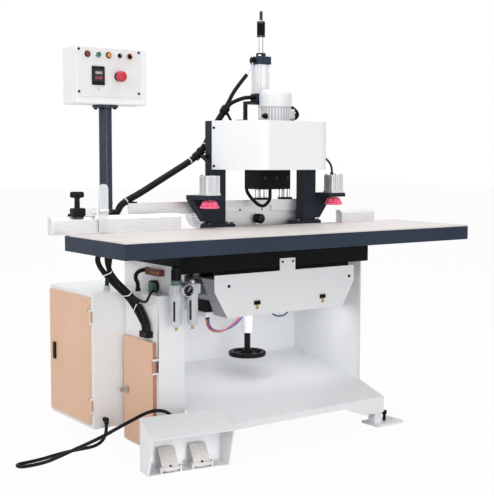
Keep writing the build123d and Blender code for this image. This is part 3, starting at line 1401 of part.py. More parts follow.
make_table()
make_base(make_side_door())
foot_bolts = make_feet()
make_cabinet()
make_gantry()
make_hood()
make_drill_head()
make_clamps(make_feed_cylinder())
make_fence()
make_stop()
make_lift()
make_mortiser()
make_cover()
make_control_box()
make_air_unit()
make_pedal()
make_fasteners(foot_bolts)
make_glands()
make_cords()

os.makedirs("parts", exist_ok=True)
for name, solids in parts.items():
    moved = [Pos(-origin_x, -origin_y, 0) * solid for solid in solids]
    shape = moved[0] if len(moved) == 1 else Compound(children=moved)
    export_step(shape, f"parts/{name}.step")
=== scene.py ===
# %% [markdown]
# Door lock mortiser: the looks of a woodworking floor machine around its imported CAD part.
# The frame brings every rigid piece at its place, in metres. This lesson gives each of them a finish,
# lays the hoses and cables as smooth curves, and models the small pieces that the solids keep plain.

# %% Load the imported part
import math

import bmesh
import bpy
from mathutils import Matrix, Vector


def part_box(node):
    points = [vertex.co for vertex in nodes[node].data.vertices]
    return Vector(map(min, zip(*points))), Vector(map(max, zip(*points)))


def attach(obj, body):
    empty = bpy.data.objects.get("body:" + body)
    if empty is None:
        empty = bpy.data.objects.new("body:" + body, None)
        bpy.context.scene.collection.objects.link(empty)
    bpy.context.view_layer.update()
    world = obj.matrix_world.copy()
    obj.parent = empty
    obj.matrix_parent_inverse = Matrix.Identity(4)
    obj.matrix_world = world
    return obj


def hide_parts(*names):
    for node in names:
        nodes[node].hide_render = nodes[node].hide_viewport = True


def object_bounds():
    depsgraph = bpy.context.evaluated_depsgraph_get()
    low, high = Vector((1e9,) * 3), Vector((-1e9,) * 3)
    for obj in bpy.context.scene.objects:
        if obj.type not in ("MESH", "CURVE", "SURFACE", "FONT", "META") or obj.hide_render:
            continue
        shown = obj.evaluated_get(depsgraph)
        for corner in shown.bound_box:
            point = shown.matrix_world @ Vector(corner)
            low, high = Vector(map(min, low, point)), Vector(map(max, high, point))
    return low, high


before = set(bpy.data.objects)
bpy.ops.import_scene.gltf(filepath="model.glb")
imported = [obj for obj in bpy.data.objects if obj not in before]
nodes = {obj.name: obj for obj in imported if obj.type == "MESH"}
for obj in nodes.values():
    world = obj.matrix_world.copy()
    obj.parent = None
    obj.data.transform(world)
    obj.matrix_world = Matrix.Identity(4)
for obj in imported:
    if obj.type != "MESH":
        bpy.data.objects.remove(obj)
cad_low, cad_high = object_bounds()
print("nodes:", len(nodes), "CAD box:", cad_low, cad_high)

# %% [markdown]
# Most places on this machine are easiest to give from the table's front left corner on the floor, because
# the part was drawn from there. One small function moves such a place into the frame. The gantry, the
# drilling head and the mortiser all stand round one line across the table, so its distance has a name.

# %% Places from the table's corner
table_low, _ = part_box("work_table")
gantry_x = 0.908
up, back, right = Vector((0, 0, 1)), Vector((0, 1, 0)), Vector((1, 0, 0))


def at(x, y, z):
    """A place in metres, right of and behind the table's front left corner, above the floor."""
    return Vector((table_low.x + x, table_low.y + y, z))


print("table corner:", at(0, 0, 0))

# %% [markdown]
# The photograph was taken from the operator's left, a little above the table. Its place, direction and
# lens were worked out from the straight edges of the table and the base, so the camera only repeats them.

# %% Camera
camera_place = at(-1.602, -2.884, 1.127)
camera_yaw = math.radians(35.94)
camera_pitch = math.radians(5.10)
camera_roll = math.radians(0.19)


def add_object(name, data):
    """A new object in the scene that shows this data."""
    made = bpy.data.objects.new(name, data)
    bpy.context.scene.collection.objects.link(made)
    return made


camera_data = bpy.data.cameras.new("photo_camera")
camera_data.sensor_width = 36.0
camera_data.lens = 73.6
camera = add_object("photo_camera", camera_data)
camera_turn = Matrix.Rotation(-camera_yaw, 4, "Z") @ Matrix.Rotation(math.pi / 2 - camera_pitch, 4, "X")
camera.matrix_world = Matrix.Translation(camera_place) @ camera_turn @ Matrix.Rotation(camera_roll, 4, "Z")
bpy.context.scene.camera = camera
print("camera at", camera.location)

# %% [markdown]
# The picture shows the machine cut out on white. A large floor that is pale to the camera and still takes
# a shadow does that here: its material mixes some plain white, for camera and mirror rays only, with an
# ordinary diffuse surface. The Light Path node tells the kinds of ray apart.

# %% Floor
def show_white(tree, output, plain, white, rays, share):
    """Show a share of a white shader to these kinds of ray, and the plain shader to all others."""
    path = tree.nodes.new("ShaderNodeLightPath")
    factor = path.outputs[rays[0]]
    for ray in rays[1:]:
        either = tree.nodes.new("ShaderNodeMath")
        either.operation = "MAXIMUM"
        tree.links.new(factor, either.inputs[0])
        tree.links.new(path.outputs[ray], either.inputs[1])
        factor = either.outputs[0]
    part = tree.nodes.new("ShaderNodeMath")
    part.operation = "MULTIPLY"
    part.inputs[1].default_value = share
    mix = tree.nodes.new("ShaderNodeMixShader")
    tree.links.new(factor, part.inputs[0])
    tree.links.new(part.outputs[0], mix.inputs["Fac"])
    tree.links.new(plain.outputs[0], mix.inputs[1])
    tree.links.new(white.outputs[0], mix.inputs[2])
    tree.links.new(mix.outputs[0], output.inputs["Surface"])


bpy.ops.object.select_all(action="DESELECT")
bpy.ops.mesh.primitive_plane_add(size=60, location=(0, 0, -0.001))
floor = bpy.context.object
floor.name = "floor"
floor_paint = bpy.data.materials.new("pale_floor")
floor_paint.use_nodes = True
floor_tree = floor_paint.node_tree
floor_tree.nodes.clear()
floor_matt = floor_tree.nodes.new("ShaderNodeBsdfDiffuse")
floor_matt.inputs["Color"].default_value = (0.86, 0.86, 0.86, 1)
floor_white = floor_tree.nodes.new("ShaderNodeEmission")
floor_out = floor_tree.nodes.new("ShaderNodeOutputMaterial")
show_white(floor_tree, floor_out, floor_matt, floor_white, ("Is Camera Ray", "Is Glossy Ray"), 0.95)
floor.data.materials.append(floor_paint)
print("floor made")

# %% [markdown]
# The light is a plain studio: an even white surround, a large soft lamp from the left and above, a low one
# from the front and one overhead. Two small lamps reach where the table and the pedal guard take the light
# away: one hangs under the lift bed, and one with a grid lies on the floor before the guard's mouth.

# %% World and lamps
world = bpy.data.worlds.new("studio")
bpy.context.scene.world = world
world.use_nodes = True
sky_tree = world.node_tree
sky_tree.nodes.clear()
light_strength, seen_strength = 0.56, 1.0
surrounds = []
for strength in (light_strength, seen_strength):
    surround = sky_tree.nodes.new("ShaderNodeBackground")
    surround.inputs["Color"].default_value = (1, 1, 1, 1)
    surround.inputs["Strength"].default_value = strength
    surrounds.append(surround)
sky_out = sky_tree.nodes.new("ShaderNodeOutputWorld")
show_white(sky_tree, sky_out, *surrounds, ("Is Camera Ray", "Is Glossy Ray", "Is Transmission Ray"), 1.0)


def soft_lamp(name, place, target, width, depth, power, spread=180):
    """A flat lamp that faces a point of the machine, with a grid where its spread is under 180 degrees."""
    data = bpy.data.lights.new(name, "AREA")
    data.shape = "RECTANGLE"
    data.size = width
    data.size_y = depth
    data.energy = power
    data.spread = math.radians(spread)
    lamp = add_object(name, data)
    lamp.location = place
    lamp.rotation_euler = (Vector(target) - Vector(place)).to_track_quat("-Z", "Y").to_euler()


middle = (cad_low + cad_high) / 2
soft_lamp("left_lamp", (-4.8, -1.6, 3.0), middle, 3.2, 3.2, 96)
soft_lamp("low_lamp", (-1.4, -5.4, 0.9), middle - up * 0.4, 2.4, 2.4, 88)
soft_lamp("top_lamp", (0.4, -0.4, 5.0), middle, 3.0, 3.0, 96)
soft_lamp("alcove_lamp", at(0.894, 0.475, 0.495), at(0.894, 0.475, 0), 0.78, 0.14, 0.9)
soft_lamp("guard_lamp", at(0.3, -0.42, 0.05), at(0.33, 0.15, 0.03), 0.3, 0.03, 0.042, 16)
bpy.context.scene.view_settings.view_transform = "Standard"
print("lamps made")

# %% [markdown]
# A real surface is never one flat colour. Every finish here starts from the same few nodes: noise textures on
# Object coordinates, which keep their size in metres on large and small pieces, a ramp that turns noise into
# tones, a range that turns it into gloss, and a bump for fine relief.

# %% Parts of a finish
def start_material(name):
    """A material with its shader and the Object coordinates that its patterns read."""
    made = bpy.data.materials.new(name)
    made.use_nodes = True
    tree = made.node_tree
    coords = tree.nodes.new("ShaderNodeTexCoord").outputs["Object"]
    return made, tree, tree.nodes["Principled BSDF"], coords


def stretched(tree, coords, scale):
    """Coordinates that are drawn out along the axis where the scale is small."""
    mapping = tree.nodes.new("ShaderNodeMapping")
    mapping.inputs["Scale"].default_value = scale
    tree.links.new(coords, mapping.inputs["Vector"])
    return mapping.outputs["Vector"]


def noise(tree, coords, scale, detail, rough=0.5):
    """A noise texture at so many waves per metre."""
    found = tree.nodes.new("ShaderNodeTexNoise")
    found.inputs["Scale"].default_value = scale
    found.inputs["Detail"].default_value = detail
    found.inputs["Roughness"].default_value = rough
    tree.links.new(coords, found.inputs["Vector"])
    return found.outputs["Fac"]


def between(tree, factor, low, high):
    """A ramp from one colour to another over the middle of a texture's range."""
    ramp = tree.nodes.new("ShaderNodeValToRGB")
    for element, position, colour in zip(ramp.color_ramp.elements, (0.35, 0.65), (low, high)):
        element.position = position
        element.color = (*colour, 1)
    tree.links.new(factor, ramp.inputs["Fac"])
    return ramp.outputs["Color"]


def drifting(tree, factor, colour, drift):
    """A colour that goes a share darker and lighter over a texture's range."""
    low, high = [tuple(min(1.0, part * (1 + share)) for part in colour) for share in (-drift, drift)]
    return between(tree, factor, low, high)


def spread(tree, factor, low, high):
    """A texture's usual range stretched between two values."""
    ranged = tree.nodes.new("ShaderNodeMapRange")
    ranged.inputs["From Min"].default_value = 0.3
    ranged.inputs["From Max"].default_value = 0.7
    ranged.inputs["To Min"].default_value = low
    ranged.inputs["To Max"].default_value = high
    tree.links.new(factor, ranged.inputs["Value"])
    return ranged.outputs["Result"]


def add_bump(tree, shader, height, strength, distance):
    """Turn a height pattern into small relief on the shader."""
    bump = tree.nodes.new("ShaderNodeBump")
    bump.inputs["Strength"].default_value = strength
    bump.inputs["Distance"].default_value = distance
    tree.links.new(height, bump.inputs["Height"])
    tree.links.new(bump.outputs["Normal"], shader.inputs["Normal"])


def coat(name, colour, gloss, drift, shine, waves, relief, depth):
    """An opaque finish whose tone, gloss and relief follow three noises of (waves per metre, detail)."""
    made, tree, shader, coords = start_material(name)
    tone, smear, grain = [noise(tree, coords, *wave) for wave in waves]
    shader.inputs["Specular IOR Level"].default_value = shine
    tree.links.new(drifting(tree, tone, colour, drift), shader.inputs["Base Color"])
    tree.links.new(spread(tree, smear, gloss - 0.05, gloss + 0.08), shader.inputs["Roughness"])
    add_bump(tree, shader, grain, relief, depth)
    return made


print("finish helpers ready")

# %% [markdown]
# Enamel on sheet metal has a fine peel from the spray gun, its tone drifts a little over a large panel, and
# the gloss varies where hands and cloths have been. So its three noises are wide, middling and very fine.

# %% Enamel
def enamel(name, colour, gloss, drift, shine=0.4):
    """Sprayed paint on metal."""
    return coat(name, colour, gloss, drift, shine, ((3, 3), (11, 4), (420, 1)), 0.12, 0.0004)


white_enamel = enamel("white_enamel", (0.8, 0.81, 0.825), 0.36, 0.015)
slate_enamel = enamel("slate_enamel", (0.03, 0.0405, 0.063), 0.42, 0.1, shine=0.08)
post_enamel = enamel("post_enamel", (0.024, 0.033, 0.05), 0.34, 0.1, shine=0.25)
panel_grey = enamel("panel_grey", (0.74, 0.73, 0.735), 0.42, 0.015)
# A darker, more neutral copy of the slate paint, for the gantry's pillars and clamp arms: painted shade, for
# their faces in the hood's shade.
gantry_shaded_slate = enamel("gantry_shaded_slate", (0.021, 0.026, 0.036), 0.42, 0.1, shine=0.08)
black_enamel = enamel("black_enamel", (0.006, 0.0065, 0.007), 0.42, 0.2, shine=0.06)
peach_enamel = enamel("peach_enamel", (0.72, 0.46, 0.325), 0.42, 0.03, shine=0.25)
# A mid grey for the cover's white left cheek: painted shade, for the cheek that lies deep under the table.
cheek_painted_shade = enamel("cheek_painted_shade", (0.34, 0.35, 0.375), 0.42, 0.06)
# A darker peach for the side door's hinge edge: painted shade, for the edge that lies in shade.
peach_painted_shade = enamel("peach_painted_shade", (0.46, 0.22, 0.155), 0.45, 0.06, shine=0.2)
print("enamels made")

# %% [markdown]
# Bare metal differs by how it was worked. Milled aluminium and ground steel carry fine parallel lines, so
# their noise is stretched along one axis with a Mapping node.

# %% Bare metals
def lined_metal(name, colour, gloss, stretch, lines=900):
    """Metal with fine lines along the axis where stretch is small."""
    made, tree, shader, coords = start_material(name)
    grain = noise(tree, stretched(tree, coords, stretch), lines, 3)
    tree.links.new(drifting(tree, grain, colour, 0.08), shader.inputs["Base Color"])
    tree.links.new(spread(tree, grain, gloss - 0.06, gloss + 0.08), shader.inputs["Roughness"])
    add_bump(tree, shader, grain, 0.08, 0.0002)
    shader.inputs["Metallic"].default_value = 1.0
    return made


along_x, along_z = (0.02, 1, 1), (1, 1, 0.02)
milled_aluminium = lined_metal("milled_aluminium", (0.76, 0.765, 0.77), 0.42, along_x)
satin_grey = lined_metal("satin_grey", (0.66, 0.67, 0.68), 0.5, along_z, 500)
cast_aluminium = lined_metal("cast_aluminium", (0.8, 0.81, 0.82), 0.5, along_z, 500)
ground_steel = lined_metal("ground_steel", (0.54, 0.55, 0.56), 0.24, along_z)
dark_steel = lined_metal("dark_steel", (0.055, 0.056, 0.06), 0.3, along_z)
brass = lined_metal("brass", (0.42, 0.31, 0.13), 0.34, along_z)
print("metals made")

# %% [markdown]
# Moulded plastics and rubber have a fine grain from the mould and slightly uneven gloss, closer together than
# on a painted panel because the pieces are small. The flip stop's acrylic lets some light through.

# %% Plastics and rubber
def moulded(name, colour, gloss, relief=0.1, drift=0.06, shine=0.4):
    """Plastic or rubber out of a mould."""
    return coat(name, colour, gloss, drift, shine, ((40, 3), (90, 3), (700, 2)), relief, 0.0003)


black_plastic = moulded("black_plastic", (0.007, 0.007, 0.0075), 0.4, drift=0.2, shine=0.12)
red_plastic = moulded("red_plastic", (0.5, 0.028, 0.045), 0.3)
pad_red = moulded("pad_red", (0.96, 0.15, 0.28), 0.3)
green_plastic = moulded("green_plastic", (0.02, 0.16, 0.09), 0.25)
amber_plastic = moulded("amber_plastic", (0.62, 0.26, 0.08), 0.25)
lamp_plastic = moulded("lamp_plastic", (0.2, 0.015, 0.02), 0.18)
cream_plastic = moulded("cream_plastic", (0.54, 0.512, 0.5), 0.5)
cord_green = moulded("cord_green", (0.012, 0.026, 0.022), 0.46, drift=0.2, shine=0.12)
cord_rubber = moulded("cord_rubber", (0.008, 0.0085, 0.008), 0.46, drift=0.2, shine=0.12)
grey_plastic = moulded("grey_plastic", (0.52, 0.54, 0.56), 0.4)
terminal_brown = moulded("terminal_brown", (0.18, 0.04, 0.025), 0.45)
relay_green = moulded("relay_green", (0.09, 0.17, 0.15), 0.4)
seam_dark = moulded("seam_dark", (0.12, 0.1, 0.09), 0.6)
tube_red = moulded("tube_red", (0.38, 0.05, 0.085), 0.3)
tube_blue = moulded("tube_blue", (0.055, 0.045, 0.19), 0.3)
tube_navy = moulded("tube_navy", (0.02, 0.05, 0.1), 0.3)
tube_pale = moulded("tube_pale", (0.62, 0.68, 0.8), 0.3)
tie_white = moulded("tie_white", (0.8, 0.8, 0.8), 0.45)
digit_white = moulded("digit_white", (0.8, 0.81, 0.82), 0.4)
digit_red = moulded("digit_red", (0.75, 0.12, 0.16), 0.4)
display_glass = moulded("display_glass", (0.012, 0.013, 0.015), 0.12, relief=0.0)
clear_acrylic = moulded("clear_acrylic", (0.9, 0.93, 0.935), 0.16, relief=0.02, drift=0.01)
acrylic_shader = clear_acrylic.node_tree.nodes["Principled BSDF"]
acrylic_shader.inputs["Transmission Weight"].default_value = 0.35
acrylic_shader.inputs["IOR"].default_value = 1.49
print("plastics made")

# %% [markdown]
# The wear plates on the table are a pale matt board, rubbed along by the doors that slide over it. Its noise
# is drawn out along the table, like the rubbing, and drives the tone and the gloss together.

# %% Wear board
wear_board, board_tree, board_shader, board_coords = start_material("wear_board")
rubbed = noise(board_tree, stretched(board_tree, board_coords, (0.15, 1, 1)), 26, 6, 0.6)
board_tone = between(board_tree, rubbed, (0.655, 0.615, 0.597), (0.725, 0.685, 0.665))
board_tree.links.new(board_tone, board_shader.inputs["Base Color"])
board_tree.links.new(spread(board_tree, rubbed, 0.42, 0.6), board_shader.inputs["Roughness"])
add_bump(board_tree, board_shader, noise(board_tree, board_coords, 300, 3), 0.1, 0.0003)
print("wear board made")

# %% [markdown]
# A CAD node that stays in view gets its finish here, and so does one that is copied later for its soft edges.
# All others give way to modelled pieces. A node that holds pieces of more than one material first gets its
# main finish all over, and then a second one on the faces inside a given box.

# %% Finishes of the CAD nodes
def dress(finish, *names):
    """Give whole nodes one finish."""
    for name in names:
        nodes[name].data.materials.clear()
        nodes[name].data.materials.append(finish)


def dress_box(finish, name, low, high):
    """Give a second finish to the faces of a node that lie inside a box."""
    mesh = nodes[name].data
    mesh.materials.append(finish)
    index = len(mesh.materials) - 1
    count = 0
    for face in mesh.polygons:
        if all(low[i] <= face.center[i] <= high[i] for i in range(3)):
            face.material_index = index
            count += 1
    print(name, "faces in", finish.name, count)


dress(white_enamel, "base_left_post", "base_panels", "foot_plates", "cabinet_shell", "lift_bed",
      "under_cover", "pedal_guard")
dress(slate_enamel, "work_table")
dress(post_enamel, "control_post")
# The gantry frame and clamp arms get the darker slate copy, painted shade.
dress(gantry_shaded_slate, "gantry_frame", "clamp_arms")
dress(black_enamel, "subframe_beams", "drill_block", "drill_carriage", "mortise_spindle")
dress(peach_enamel, "cabinet_door", "side_door")
dress(wear_board, "table_plates")
dress(milled_aluminium, "fence_rails", "spindle_shield")
dress(cast_aluminium, "plunge_saddle")
dress(ground_steel, "guide_rails", "drill_spindle_left", "drill_spindle_right", "side_door_lock")
# Dark steel on the lift plate and the cross slide is painted shade: darker than their bare steel, for the
# shaded space under the table.
dress(dark_steel, "lift_plate", "cross_slide")
dress(black_plastic, "cabinet_latch", "handwheel", "cable_glands")
# The gantry's back plate and the cabinet hose's gland each have a finish of their own. The lift columns get
# dark steel, the cover's left cheek a mid grey and the side door's hinge edge a darker peach: all three are
# painted shade, darker than their paint or steel for the shade that falls on them.
dress_box(dark_steel, "guide_rails", at(0.7, 0.5, 0.5), at(1.1, 0.8, 0.7))
dress_box(black_enamel, "gantry_frame", at(0.709, 0.496, 1.0), at(1.107, 0.52, 1.2625))
dress_box(grey_plastic, "cable_glands", at(0.26, 0.64, 0.6), at(0.3, 0.68, 0.63))
dress_box(cheek_painted_shade, "under_cover", at(0.55, 0.306, 0.5), at(0.64, 0.4, 0.67))
dress_box(peach_painted_shade, "side_door", at(0.3, 0.34, 0.02), at(0.34, 0.3625, 0.44))
print("nodes dressed")

# %% [markdown]
# A hose or a cable is a round cord that bends softly. A NURBS curve whose control points are the corners of
# its route, with a bevel for its thickness, gives that with few points and is easy to lay anew. A curve that
# stands for a solid keeps that solid's route. A few short leads have no solid and are curves alone.

# %% Cord maker
def route(*places):
    """The control points of a cord, given from the table's corner."""
    return [at(*place) for place in places]


def cord(name, node, points, diameter, length, finish=cord_rubber, body="machine"):
    """A cord along a route, in the place of a node if one is named; the length argument is not used."""
    data = bpy.data.curves.new(name, "CURVE")
    data.dimensions = "3D"
    data.resolution_u = 8
    data.bevel_depth = diameter / 2
    data.bevel_resolution = 5
    data.use_fill_caps = True
    spline = data.splines.new("NURBS")
    spline.points.add(len(points) - 1)
    for control, point in zip(spline.points, points):
        control.co = (*point, 1)
    spline.order_u = 3
    spline.use_endpoint_u = True
    made = add_object(name, data)
    data.materials.append(finish)
    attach(made, body)
    if node:
        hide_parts(node)
    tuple(points[0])
    print(name, "points:", len(points))


print("cord maker ready")

# %% [markdown]
# The pedal's cable leaves the machine near the floor, runs out to the left, turns back on itself and climbs
# to the back of the guard. The guard stands a little turned on the floor, so one matrix keeps its place.

# %% Pedal cable
guard_place = Matrix.Translation(at(0.164, 0.112, 0)) @ Matrix.Rotation(math.radians(-8.8), 4, "Z")
pedal_route = route(
    (0.236, 0.583, 0.088), (0.236, 0.583, 0.058), (0.22, 0.582, 0.024), (0.182, 0.58, 0.008),
    (0.128, 0.582, 0.007), (0.068, 0.579, 0.007), (0.01, 0.567, 0.007), (-0.046, 0.549, 0.007),
    (-0.1, 0.541, 0.007), (-0.152, 0.54, 0.007), (-0.164, 0.519, 0.007), (-0.152, 0.498, 0.007),
    (-0.1, 0.497, 0.007), (-0.056, 0.488, 0.013), (-0.012, 0.462, 0.035), (0.02, 0.41, 0.067),
    (0.045, 0.353, 0.098), (0.091, 0.32, 0.126), (0.146, 0.312, 0.15), (0.204, 0.309, 0.17),
    (0.254, 0.302, 0.19), (0.298, 0.29, 0.195), (0.328, 0.269, 0.186))
pedal_route += [guard_place @ Vector(place) for place in ((0.15, 0.152, 0.162), (0.15, 0.13, 0.15))]
cord("pedal_lead", "pedal_cable", pedal_route, diameter=0.013, length=1.145)

# %% [markdown]
# One thick hose carries air and wires from the control post up to the head. At its end two thinner ones fork
# off, to the feed cylinder and to the bracket, and a short one goes down to the back plate. The cylinder's
# hose ends in a thin pale tube.

# %% Upper hose and its branches
hose_rise = Vector((0.605, 0, 0.796)).normalized()
hose_end = at(0.752, 0.532, 1.308)
upper_route = route(
    (0.236, 0.506, 0.915), (0.25, 0.507, 0.917), (0.266, 0.515, 0.943), (0.298, 0.522, 0.961),
    (0.364, 0.53, 0.989), (0.453, 0.532, 1.037), (0.564, 0.532, 1.096), (0.621, 0.532, 1.128),
    (0.664, 0.532, 1.172), (0.69, 0.532, 1.22))
upper_route += [hose_end - hose_rise * 0.053, hose_end]
cord("upper_hose", "hoses", upper_route, diameter=0.026, length=0.675)

fork = hose_end + hose_rise * 0.026
fork_half = back * 0.0085
cylinder_route = [fork + fork_half, fork + fork_half + hose_rise * 0.03]
cylinder_route += route((0.802, 0.534, 1.388), (0.824, 0.521, 1.424), (0.84, 0.512, 1.447),
                        (0.852, 0.506, 1.464))
cord("cylinder_hose", "hoses", cylinder_route, diameter=0.016, length=0.165)
hose_tip = cylinder_route[-1]
cap_route = [hose_tip + Vector((-0.004, 0.002, -0.006)), hose_tip + Vector((0.008, -0.008, 0.014))]
cap_route += route((0.866, 0.489, 1.495), (0.867, 0.486, 1.512))
cord("cap_tube", None, cap_route, diameter=0.006, length=0.058, finish=tube_pale)
bracket_route = [fork - fork_half, fork - fork_half + hose_rise * 0.016]
bracket_route += route((0.79, 0.516, 1.351), (0.814, 0.502, 1.363), (0.84, 0.489, 1.371),
                       (0.863, 0.486, 1.371))
cord("bracket_hose", "hoses", bracket_route, diameter=0.016, length=0.114)
plate_route = route((0.763, 0.53, 1.32), (0.77, 0.526, 1.303), (0.774, 0.517, 1.287), (0.776, 0.508, 1.273),
                    (0.776, 0.505, 1.26))
cord("plate_hose", None, plate_route, diameter=0.011, length=0.068)

# %% [markdown]
# Under the table two hoses hang side by side from the control post down to the base, a greenish one goes back
# to the cabinet, and a short one bends over the ledge. A thin lead rides on the pair, leaves it in a small
# bow and ends at the relay on the post.

# %% Lower hoses and ledge
cord("lower_hose_left", "hoses", route(
    (0.1915, 0.506, 0.79), (0.178, 0.507, 0.772), (0.163, 0.508, 0.75), (0.172, 0.512, 0.722),
    (0.196, 0.516, 0.691), (0.228, 0.52, 0.656), (0.267, 0.522, 0.62), (0.301, 0.522, 0.588),
    (0.318, 0.508, 0.557), (0.32, 0.478, 0.53), (0.318, 0.45, 0.51), (0.316, 0.424, 0.492),
    (0.316, 0.424, 0.472)), diameter=0.02, length=0.424)
cord("lower_hose_right", "hoses", route(
    (0.2125, 0.506, 0.79), (0.206, 0.505, 0.768), (0.202, 0.504, 0.745), (0.207, 0.503, 0.713),
    (0.224, 0.502, 0.679), (0.253, 0.5, 0.646), (0.287, 0.498, 0.614), (0.311, 0.486, 0.584),
    (0.319, 0.46, 0.556), (0.319, 0.434, 0.532), (0.317, 0.412, 0.511), (0.316, 0.4, 0.494),
    (0.316, 0.4, 0.472)), diameter=0.02, length=0.394)
cord("cabinet_hose", "hoses", route(
    (0.232, 0.53, 0.776), (0.232, 0.53, 0.75), (0.24, 0.552, 0.72), (0.256, 0.592, 0.69),
    (0.276, 0.636, 0.664), (0.283, 0.657, 0.642), (0.283, 0.657, 0.622)),
     diameter=0.016, length=0.22, finish=cord_green)
cord("ledge_hose", "hoses", route(
    (0.388, 0.534, 0.69), (0.364, 0.534, 0.69), (0.342, 0.532, 0.676), (0.338, 0.526, 0.656),
    (0.346, 0.522, 0.642), (0.346, 0.522, 0.622)), diameter=0.016, length=0.105)
cord("relay_lead", None, route(
    (0.299, 0.494, 0.602), (0.302, 0.47, 0.595), (0.3025, 0.438, 0.586), (0.3025, 0.401, 0.584),
    (0.3, 0.376, 0.591), (0.299, 0.361, 0.607), (0.306, 0.355, 0.625), (0.323, 0.362, 0.631),
    (0.343, 0.383, 0.623), (0.362, 0.408, 0.617), (0.38, 0.432, 0.617), (0.39, 0.446, 0.622),
    (0.394, 0.453, 0.634), (0.394, 0.458, 0.645), (0.393, 0.467, 0.651)),
     diameter=0.01, length=0.323)

# %% [markdown]
# Each clamp cylinder has a thin hose to its pillar. The right one is the left one's mirror image across the
# gantry, so only one route is written. Coloured air tubes hang in a bow under the cover.

# %% Clamp hoses and air tubes
clamp_route = ((0.592, 0.402, 1.066), (0.592, 0.402, 1.09), (0.595, 0.424, 1.116), (0.602, 0.451, 1.132),
               (0.61, 0.473, 1.132), (0.631, 0.473, 1.132))
clamp_mirrored = [(2 * gantry_x - x, y, z) for x, y, z in clamp_route]
for name, places in (("clamp_hose_left", clamp_route), ("clamp_hose_right", clamp_mirrored)):
    cord(name, "hoses", route(*places), diameter=0.009, length=0.131)
for name, finish, x, y, end, length in (("air_tube_red", tube_red, 0.604, 0.428, 0.846, 0.332),
                                        ("air_tube_blue", tube_blue, 0.62, 0.442, 0.862, 0.325)):
    cord(name, "air_tubes", route(
        (x, y, 0.488), (x, y, 0.466), (x + 0.018, y + 0.004, 0.444), (x + 0.054, y + 0.016, 0.43),
        (x + 0.108, y + 0.04, 0.425), (end - 0.078, 0.51, 0.43), (end - 0.026, 0.534, 0.444),
        (end, 0.542, 0.466), (end, 0.542, 0.488)),
         diameter=0.008, length=length, finish=finish)
cord("air_tube_navy", "air_tubes", route(
    (1.01, 0.542, 0.488), (1.01, 0.542, 0.468), (1.03, 0.541, 0.45), (1.059, 0.54, 0.446),
    (1.088, 0.541, 0.45), (1.108, 0.542, 0.468), (1.108, 0.542, 0.488)),
     diameter=0.008, length=0.149, finish=tube_navy)

# %% [markdown]
# Three cords ride up and down with the drilling head: a hose that hangs in a loop below the hood, and two
# cables at the motor. They are short and fixed at both ends to the head, so they keep their shape.

# %% Cords of the drilling head
loop_first, loop_last = at(0.838, 0.486, 0.999), at(0.903, 0.413, 0.999)
loop_across = (loop_last - loop_first).normalized()
cord("head_hose", "head_hoses", [
    loop_first, loop_first - up * 0.01, loop_first + loop_across * 0.024 - up * 0.044,
    loop_first + loop_across * 0.066 - up * 0.077, loop_last - up * 0.047, loop_last - up * 0.014, loop_last],
     diameter=0.014, length=0.185, body="drill_head")
cord("motor_cable", "head_hoses", route(
    (0.989, 0.386, 1.299), (1.011, 0.386, 1.299), (1.029, 0.402, 1.303), (1.035, 0.428, 1.307),
    (1.035, 0.4566, 1.299), (1.035, 0.4566, 1.278)), diameter=0.01, length=0.119, body="drill_head")
cord("fan_cable", None, route(
    (0.966, 0.39, 1.334), (0.985, 0.384, 1.334), (1.01, 0.384, 1.322), (1.034, 0.396, 1.304),
    (1.044, 0.42, 1.29), (1.04, 0.445, 1.284), (1.038, 0.4566, 1.276)),
     diameter=0.012, length=0.1465, body="drill_head")

# %% [markdown]
# The rest of the lesson models pieces the way hands do in Blender: add a primitive at its place, open it in
# edit mode, and draw it out. An operator acts on whatever is selected, so each helper first lets go of
# everything, and faces or edges are then chosen by a test on their place or direction.

# %% Selecting and edit mode
def fresh():
    """Leave edit mode and let go of everything."""
    if bpy.context.object and bpy.context.object.mode == "EDIT":
        bpy.ops.object.mode_set(mode="OBJECT")
    bpy.ops.object.select_all(action="DESELECT")


def take(*pieces):
    """Select only these pieces, the first of them active."""
    fresh()
    for piece in pieces:
        piece.select_set(True)
    bpy.context.view_layer.objects.active = pieces[0]


def settle():
    """Move the selected piece's place, turn and size into its mesh."""
    bpy.ops.object.transform_apply(location=True, rotation=True, scale=True)
    return bpy.context.object


def open_mesh(made):
    """Open a piece in edit mode with all of it selected."""
    take(made)
    bpy.ops.object.mode_set(mode="EDIT")
    bpy.ops.mesh.select_all(action="SELECT")


def choose(made, wanted, kind="FACE"):
    """In edit mode, select only the faces or edges that pass a test."""
    bpy.ops.mesh.select_mode(type=kind)
    bpy.ops.mesh.select_all(action="DESELECT")
    grid = bmesh.from_edit_mesh(made.data)
    for part in grid.faces if kind == "FACE" else grid.edges:
        part.select_set(bool(wanted(part)))
    bmesh.update_edit_mesh(made.data)


def close_mesh(made):
    """Turn all faces outwards and go back to object mode."""
    bpy.ops.mesh.select_all(action="SELECT")
    bpy.ops.mesh.normals_make_consistent(inside=False)
    bpy.ops.object.mode_set(mode="OBJECT")
    return made


print("selection helpers ready")

# %% [markdown]
# Most small pieces on a machine are boxes or turned shapes. A box gets its edges from the bevel operator,
# because no sheet or casting has a knife edge. A turned piece starts as a disc and is drawn out along its
# axis, ring by ring, with one extrude and one resize for each step, as a lathe tool would follow it.

# %% Blocks and turned pieces
def paint(made, finish):
    """Give a piece one finish, or none where it only cuts another piece."""
    made.data.materials.clear()
    if finish:
        made.data.materials.append(finish)
    return made


def block(finish, low, high, edge):
    """A box between two corners, with rounded edges unless edge is 0."""
    fresh()
    low, high = Vector(low), Vector(high)
    bpy.ops.mesh.primitive_cube_add(size=1, location=(low + high) / 2, scale=high - low)
    made = settle()
    open_mesh(made)
    if edge:
        bpy.ops.mesh.bevel(offset=edge, segments=3, affect="EDGES", clamp_overlap=True)
    return paint(close_mesh(made), finish)


